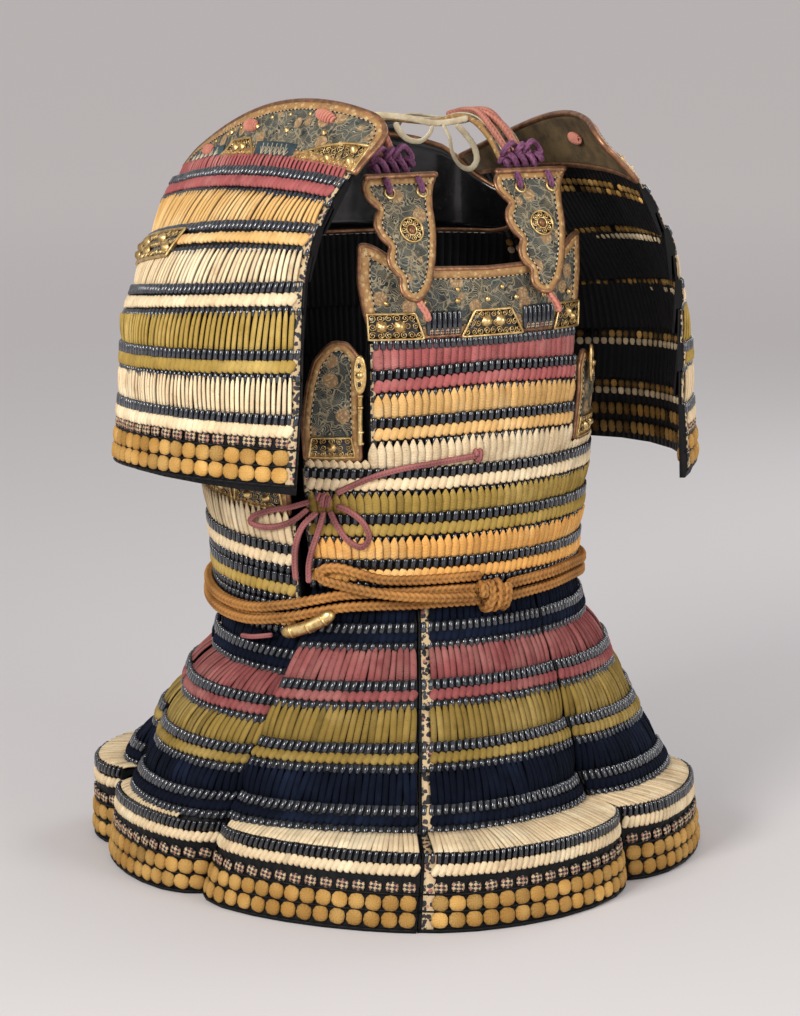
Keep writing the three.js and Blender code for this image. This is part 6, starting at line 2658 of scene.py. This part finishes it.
@dataclass
class Crowns:
    """The leather-faced plates over the shoulder guards, their tufts and gilt, and the bars."""

    foot: float = 305
    foot_skew: float = 10
    top: float = 350
    top_skew: float = 31
    corner: float = 30
    back_corner: float = 16
    out: float = 7.5
    thickness: float = 3.2
    chord: float = 163
    bar: tuple = (235, 20, 0.1, 0.92, 10.5, 14, 12.4)
    tufts: tuple = ((-0.56, 352), (0.1, 331), (0.62, 311))
    inner_tuft: tuple = (-0.35, 340)
    flowers: tuple = ((-0.62, 28), (-0.3, 24), (0.02, 26), (0.34, 24))
    panels: tuple = ((-0.45, -0.04), (0.38, 0.9))
    feather_leans: tuple = (-0.035, -0.018, 0.0, 0.02)

    def panel(self, guard: Guard) -> Panel:
        """The crown's plate.

        Args:
            guard: the guard.

        Returns:
            The plate.
        """
        stations = []
        places = [*np.linspace(-1, -0.82, 12), *np.linspace(-0.8, 0.88, 42), *np.linspace(0.9, 1, 8)]
        for across in places:
            corner = self.corner if across < 0 else self.back_corner
            inset = max(0.0, corner - (1 - abs(across)) * self.chord)
            high = self.top - self.top_skew * across - corner + math.sqrt(corner ** 2 - inset ** 2)
            low = self.foot - self.foot_skew * across
            stations.append(((float(across), low), (float(across), high)))
        return Panel("crown", guard.point, stations, self.out, self.thickness, self.chord)

    def tuft(self, bench: Bench, guard: Guard, across: float, up: float, out: float,
             wide: float = 12) -> None:
        """A coil of salmon cord that stands on the leather.

        Args:
            bench: where the shapes go.
            guard: the guard.
            across: the share across.
            up: the length up.
            out: distance out.
            wide: half its width.
        """
        line = []
        for step in range(89):
            turn = step / 12 * FULL_TURN
            share = (step / 88 - 0.5) * 2
            swell = math.sqrt(1 - 0.85 * share ** 2)
            line.append(guard.point(across + share * wide / self.chord,
                                    up + 4.2 * swell * math.cos(turn),
                                    out + 1.6 + 2.8 * swell * math.sin(turn)))
        bench.add(Finish.SALMON, tube(smooth_line(line, 130), 1.5, 1))

    def gilding(self, bench: Bench, guard: Guard) -> None:
        """The corner triangle, the middle trapezoid, and the studs.

        Args:
            bench: where the shapes go.
            guard: the guard.
        """
        gilt = GiltWork(bench, guard.point, self.out, self.chord, 3)

        def foot(across: float) -> float:
            """The height of the plate's foot."""
            return self.foot - self.foot_skew * across

        gilt.field(((-0.985, foot(-1) + 1), (-0.42, foot(-0.42) + 0.5), (-0.8, foot(-0.8) + 24),
                    (-0.965, foot(-1) + 31)),
                   ((0.14, 0.3, 1.1), (0.5, 0.25, 0.95), (0.3, 0.75, 0.95)))
        gilt.field(((-0.04, foot(0) + 1), (0.38, foot(0.38) + 1), (0.28, foot(0.3) + 16),
                    (0.06, foot(0) + 16)), ((0.36, 0.6, 1.1), (0.64, 0.6, 1.1)))
        for low, high in self.panels:
            places = np.linspace(low, high, 12)
            front, back = (np.array([[list(guard.point(across, foot(across) + up, self.out + lift))
                                      for up in (1, 7, 13.5)] for across in places])
                           for lift in (1.3, 0.2))
            bench.add(Finish.TEAL, shell(front, back))
            for across in np.linspace(low + 0.09, high - 0.08, 6):
                for lean in self.feather_leans:
                    tall = 12 - 160 * abs(lean)
                    feather = [guard.point(across, foot(across) + 2, self.out + 1.5),
                               guard.point(across + lean * 0.4, foot(across) + tall * 0.6,
                                           self.out + 1.6),
                               guard.point(across + lean, foot(across) + tall, self.out + 1.6)]
                    bench.add(Finish.CREAM, tube(smooth_line(feather, 6), 0.4, 1))
        for across in np.linspace(-0.6, 0.72, 9):
            gilt.stud(float(across), self.top - self.top_skew * float(across) - 13.5, 2.3)
        for across, rise in self.flowers:
            gilt.flower(across, foot(across) + rise, 0.7)

    def bars(self, bench: Bench, guard: Guard) -> None:
        """The gilt bar's openwork, its six bosses, and its round knob.

        Args:
            bench: where the shapes go.
            guard: the guard.
        """
        head, skew, start, stop, drop, depth, face = self.bar

        def at(across: float, down: float, out: float) -> Vector:
            """The bar's surface."""
            return guard.point(across, head - skew * across - drop + down, out)
        gilt = GiltWork(bench, at, face, self.chord, 13)
        bosses = [((k + 0.5) / 6, 0.3 + 0.4 * (k % 2), 1.3) for k in range(6)]
        gilt.field(((start, -depth - 4), (stop - 0.01, -depth - 4), (stop - 0.01, 5),
                    (start, 5)), bosses, 7.5, 1.5)
        knob = [at(stop - 0.02, -depth / 2, face), at(stop + 0.03, -depth / 2, face + 2),
                at(stop + 0.06, -depth / 2 - 0.5, face + 1)]
        bench.add(Finish.GILT, plait(smooth_line(knob, 20), 3.0, 30, 2, 0.05))
        ball = pillow(9, 9, 9, 16, 12, 1.0)
        spot = Matrix.Translation(at(stop + 0.07, -depth / 2 - 0.5, face + 1))
        bench.stamp(Finish.GILT, ball, [spot])
        ring = [at(stop + 0.07, -depth / 2 - 6 + 5 * math.cos(t), face + 1 + 5 * math.sin(t))
                for t in np.linspace(0, FULL_TURN, 20)]
        bench.add(Finish.GILT, tube(ring[:-1], 1.3, 2, True))

    def build(self, guards: Sequence[Guard]) -> None:
        """Makes both crowns and bars.

        Args:
            guards: the guards that they top.
        """
        for guard in guards:
            name = f"guard_{guard.word}_plate"
            bench = Bench(name)
            self.panel(guard).build(bench, 3.3, 7, inner=Finish.OLD_LEATHER)
            for across, up in self.tufts:
                self.tuft(bench, guard, across, up, self.out)
            self.tuft(bench, guard, *self.inner_tuft, self.out - self.thickness - 6, 10)
            self.gilding(bench, guard)
            bench.make([name])
            bench = Bench(f"guard_{guard.word}_bar")
            self.bars(bench, guard)
            bench.make(keeps=Finish.GILT)


@dataclass
class Fittings:
    """The pierced gilt toggles and the hinge rod."""

    toggles: tuple = (("toggle_right", -43.5, 514, 15), ("toggle_left", 49, 506, 12))
    half: tuple = (5, 17)
    rod: tuple = (-43.6, 446, 494, 12, 4.5)

    def build(self) -> None:
        """Rims and bosses on the toggles, and beads on the rod."""
        for name, angle, z, out in self.toggles:
            bench = Bench(name)

            def at(x: float, y: float, lift: float, angle: float = angle, z: float = z,
                   out: float = out) -> Vector:
                """The plane that the toggle lies in.

                Args:
                    x: along.
                    y: up.
                    lift: distance out of its middle plane.
                    angle: degrees round.
                    z: height.
                    out: distance out.

                Returns:
                    The point.
                """
                middle = TORSO.point(angle, z, out)
                turn = math.radians(angle)
                along = Vector((math.cos(turn), math.sin(turn), 0))
                outward = Vector((math.sin(turn), -math.cos(turn), 0))
                return middle + along * x + outward * lift + Vector((0, 0, y))
            bench.add(Finish.GILT, hoop(at, (0, 0), self.half, 1.4, 1.7, 48))
            gilt = GiltWork(bench, at, 2.6)
            gilt.flower(0, 0, 0.8)
            for y in (-9, 9):
                bench.add(Finish.GILT, hoop(at, (0, y), (2.2, 3.4), 3.0, 0.8))
                # Painted shade: a black lacquer pad stands in each piercing of the toggle.
                bench.stamp(Finish.LINING, pillow(3.4, 1.2, 5.4, 10, 6), [gilt.frame_at(0, y, 3.0)])
            bench.make(keeps=Finish.GILT)
        angle, low, high, out, wide = self.rod
        bench = Bench("hinge_rod")
        bead = pillow(wide * 1.5, wide * 1.5, 3.4, 16, 8)
        bench.stamp(Finish.GILT, bead, [Matrix.Translation(TORSO.point(angle, z, out))
                                        for z in (low + 1, low + 12, high - 12, high - 1)])
        bench.make(keeps=Finish.GILT)


# ---------------------------------------------------------------- camera, floor and light


@dataclass
class Studio:
    """The camera, a pale floor without an edge, and soft light."""

    place: Point = (-1.648, -2.743, 0.925)
    aim: Point = (0, 0, 0.352)
    lens: float = 113.4
    # The floor's colours near the middle and far away: a painted gradient of light.
    near: Point = (0.61, 0.585, 0.59)
    far: Point = (0.86, 0.81, 0.805)
    lamps: tuple = (
        ("key", (-2.9, -1.3, 1.9), (0, 0, 0.45), 1.2, 102, (1, 0.98, 0.945)),
        ("front", (0.8, -3.0, 1.3), (0, 0, 0.45), 1.3, 40, (1, 0.98, 0.95)),
        ("fill", (2.6, 0.6, 1.8), (0, 0, 0.4), 1.6, 22, (0.96, 0.98, 1)),
    )
    surround: tuple = (0.94, 0.92, 0.92, 1)
    surround_strength: float = 0.58

    def camera(self) -> None:
        """The camera, a little above the chest, to the front right of the armour."""
        data = bpy.data.cameras.new("camera")
        data.lens, data.sensor_width = self.lens, 36
        data.clip_end = 200
        camera = bpy.data.objects.new("camera", data)
        camera.location = self.place
        aim = Vector(self.aim) - Vector(self.place)
        camera.rotation_euler = aim.to_track_quat("-Z", "Y").to_euler()
        bpy.context.scene.collection.objects.link(camera)
        bpy.context.scene.camera = camera

    def floor(self) -> None:
        """A wide pale floor with painted light: darker near the middle, lighter far away."""
        bm = bmesh.new()
        bmesh.ops.create_circle(bm, cap_ends=True, segments=64, radius=90)
        mesh = bpy.data.meshes.new("floor")
        bm.to_mesh(mesh)
        bm.free()
        floor = bpy.data.objects.new("floor", mesh)
        bpy.context.scene.collection.objects.link(floor)
        shader = Shader("studio_paper")
        spot = shader.place((1, 1, 1))
        away = shader.node("ShaderNodeVectorMath", {"operation": "LENGTH"}, {0: spot}, 1)
        far = away.between(0.2, 9.0)
        colour = shader.mix(far, self.near, self.far)
        grain = shader.noise(spot, 300, 3)
        floor.data.materials.append(shader.done(Base_Color=colour, Roughness=0.9,
                                                Normal=shader.bump(grain, 0.05)))

    def lamp(self, name: str, place: Point, aim: Point, size: float, power: float,
             colour: Point = (1, 1, 1)) -> None:
        """A square soft light at a place, turned towards a point.

        Args:
            name: the lamp's name.
            place: where it is.
            aim: what it points at.
            size: its side, in metres.
            power: in watts.
            colour: its colour.
        """
        data = bpy.data.lights.new(name, "AREA")
        data.size, data.energy, data.color = size, power, colour
        lamp = bpy.data.objects.new(name, data)
        lamp.location = place
        turn = (Vector(aim) - Vector(place)).to_track_quat("-Z", "Y")
        lamp.rotation_euler = turn.to_euler()
        bpy.context.scene.collection.objects.link(lamp)

    def light(self) -> None:
        """A soft key from the upper left, a fill from the right, and an even surround."""
        for lamp in self.lamps:
            self.lamp(*lamp)
        world = bpy.data.worlds.new("surround")
        world.use_nodes = True
        back = world.node_tree.nodes["Background"]
        back.inputs["Color"].default_value = self.surround
        back.inputs["Strength"].default_value = self.surround_strength
        bpy.context.scene.world = world
        bpy.context.scene.view_settings.view_transform = "Standard"


def main() -> None:
    """Builds the studio, then the armour's pieces."""
    logging.basicConfig(level=logging.INFO, format="%(name)s: %(message)s")
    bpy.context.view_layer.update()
    studio = Studio()
    studio.camera()
    Cords().build()
    BodyRows().build()
    Skirt().build()
    guards = Guards()
    guards.build()
    Plates().build()
    Shoulders().build()
    Crowns().build(guards.sides)
    Fittings().build()
    studio.floor()
    studio.light()


if __name__ == "__main__":
    main()
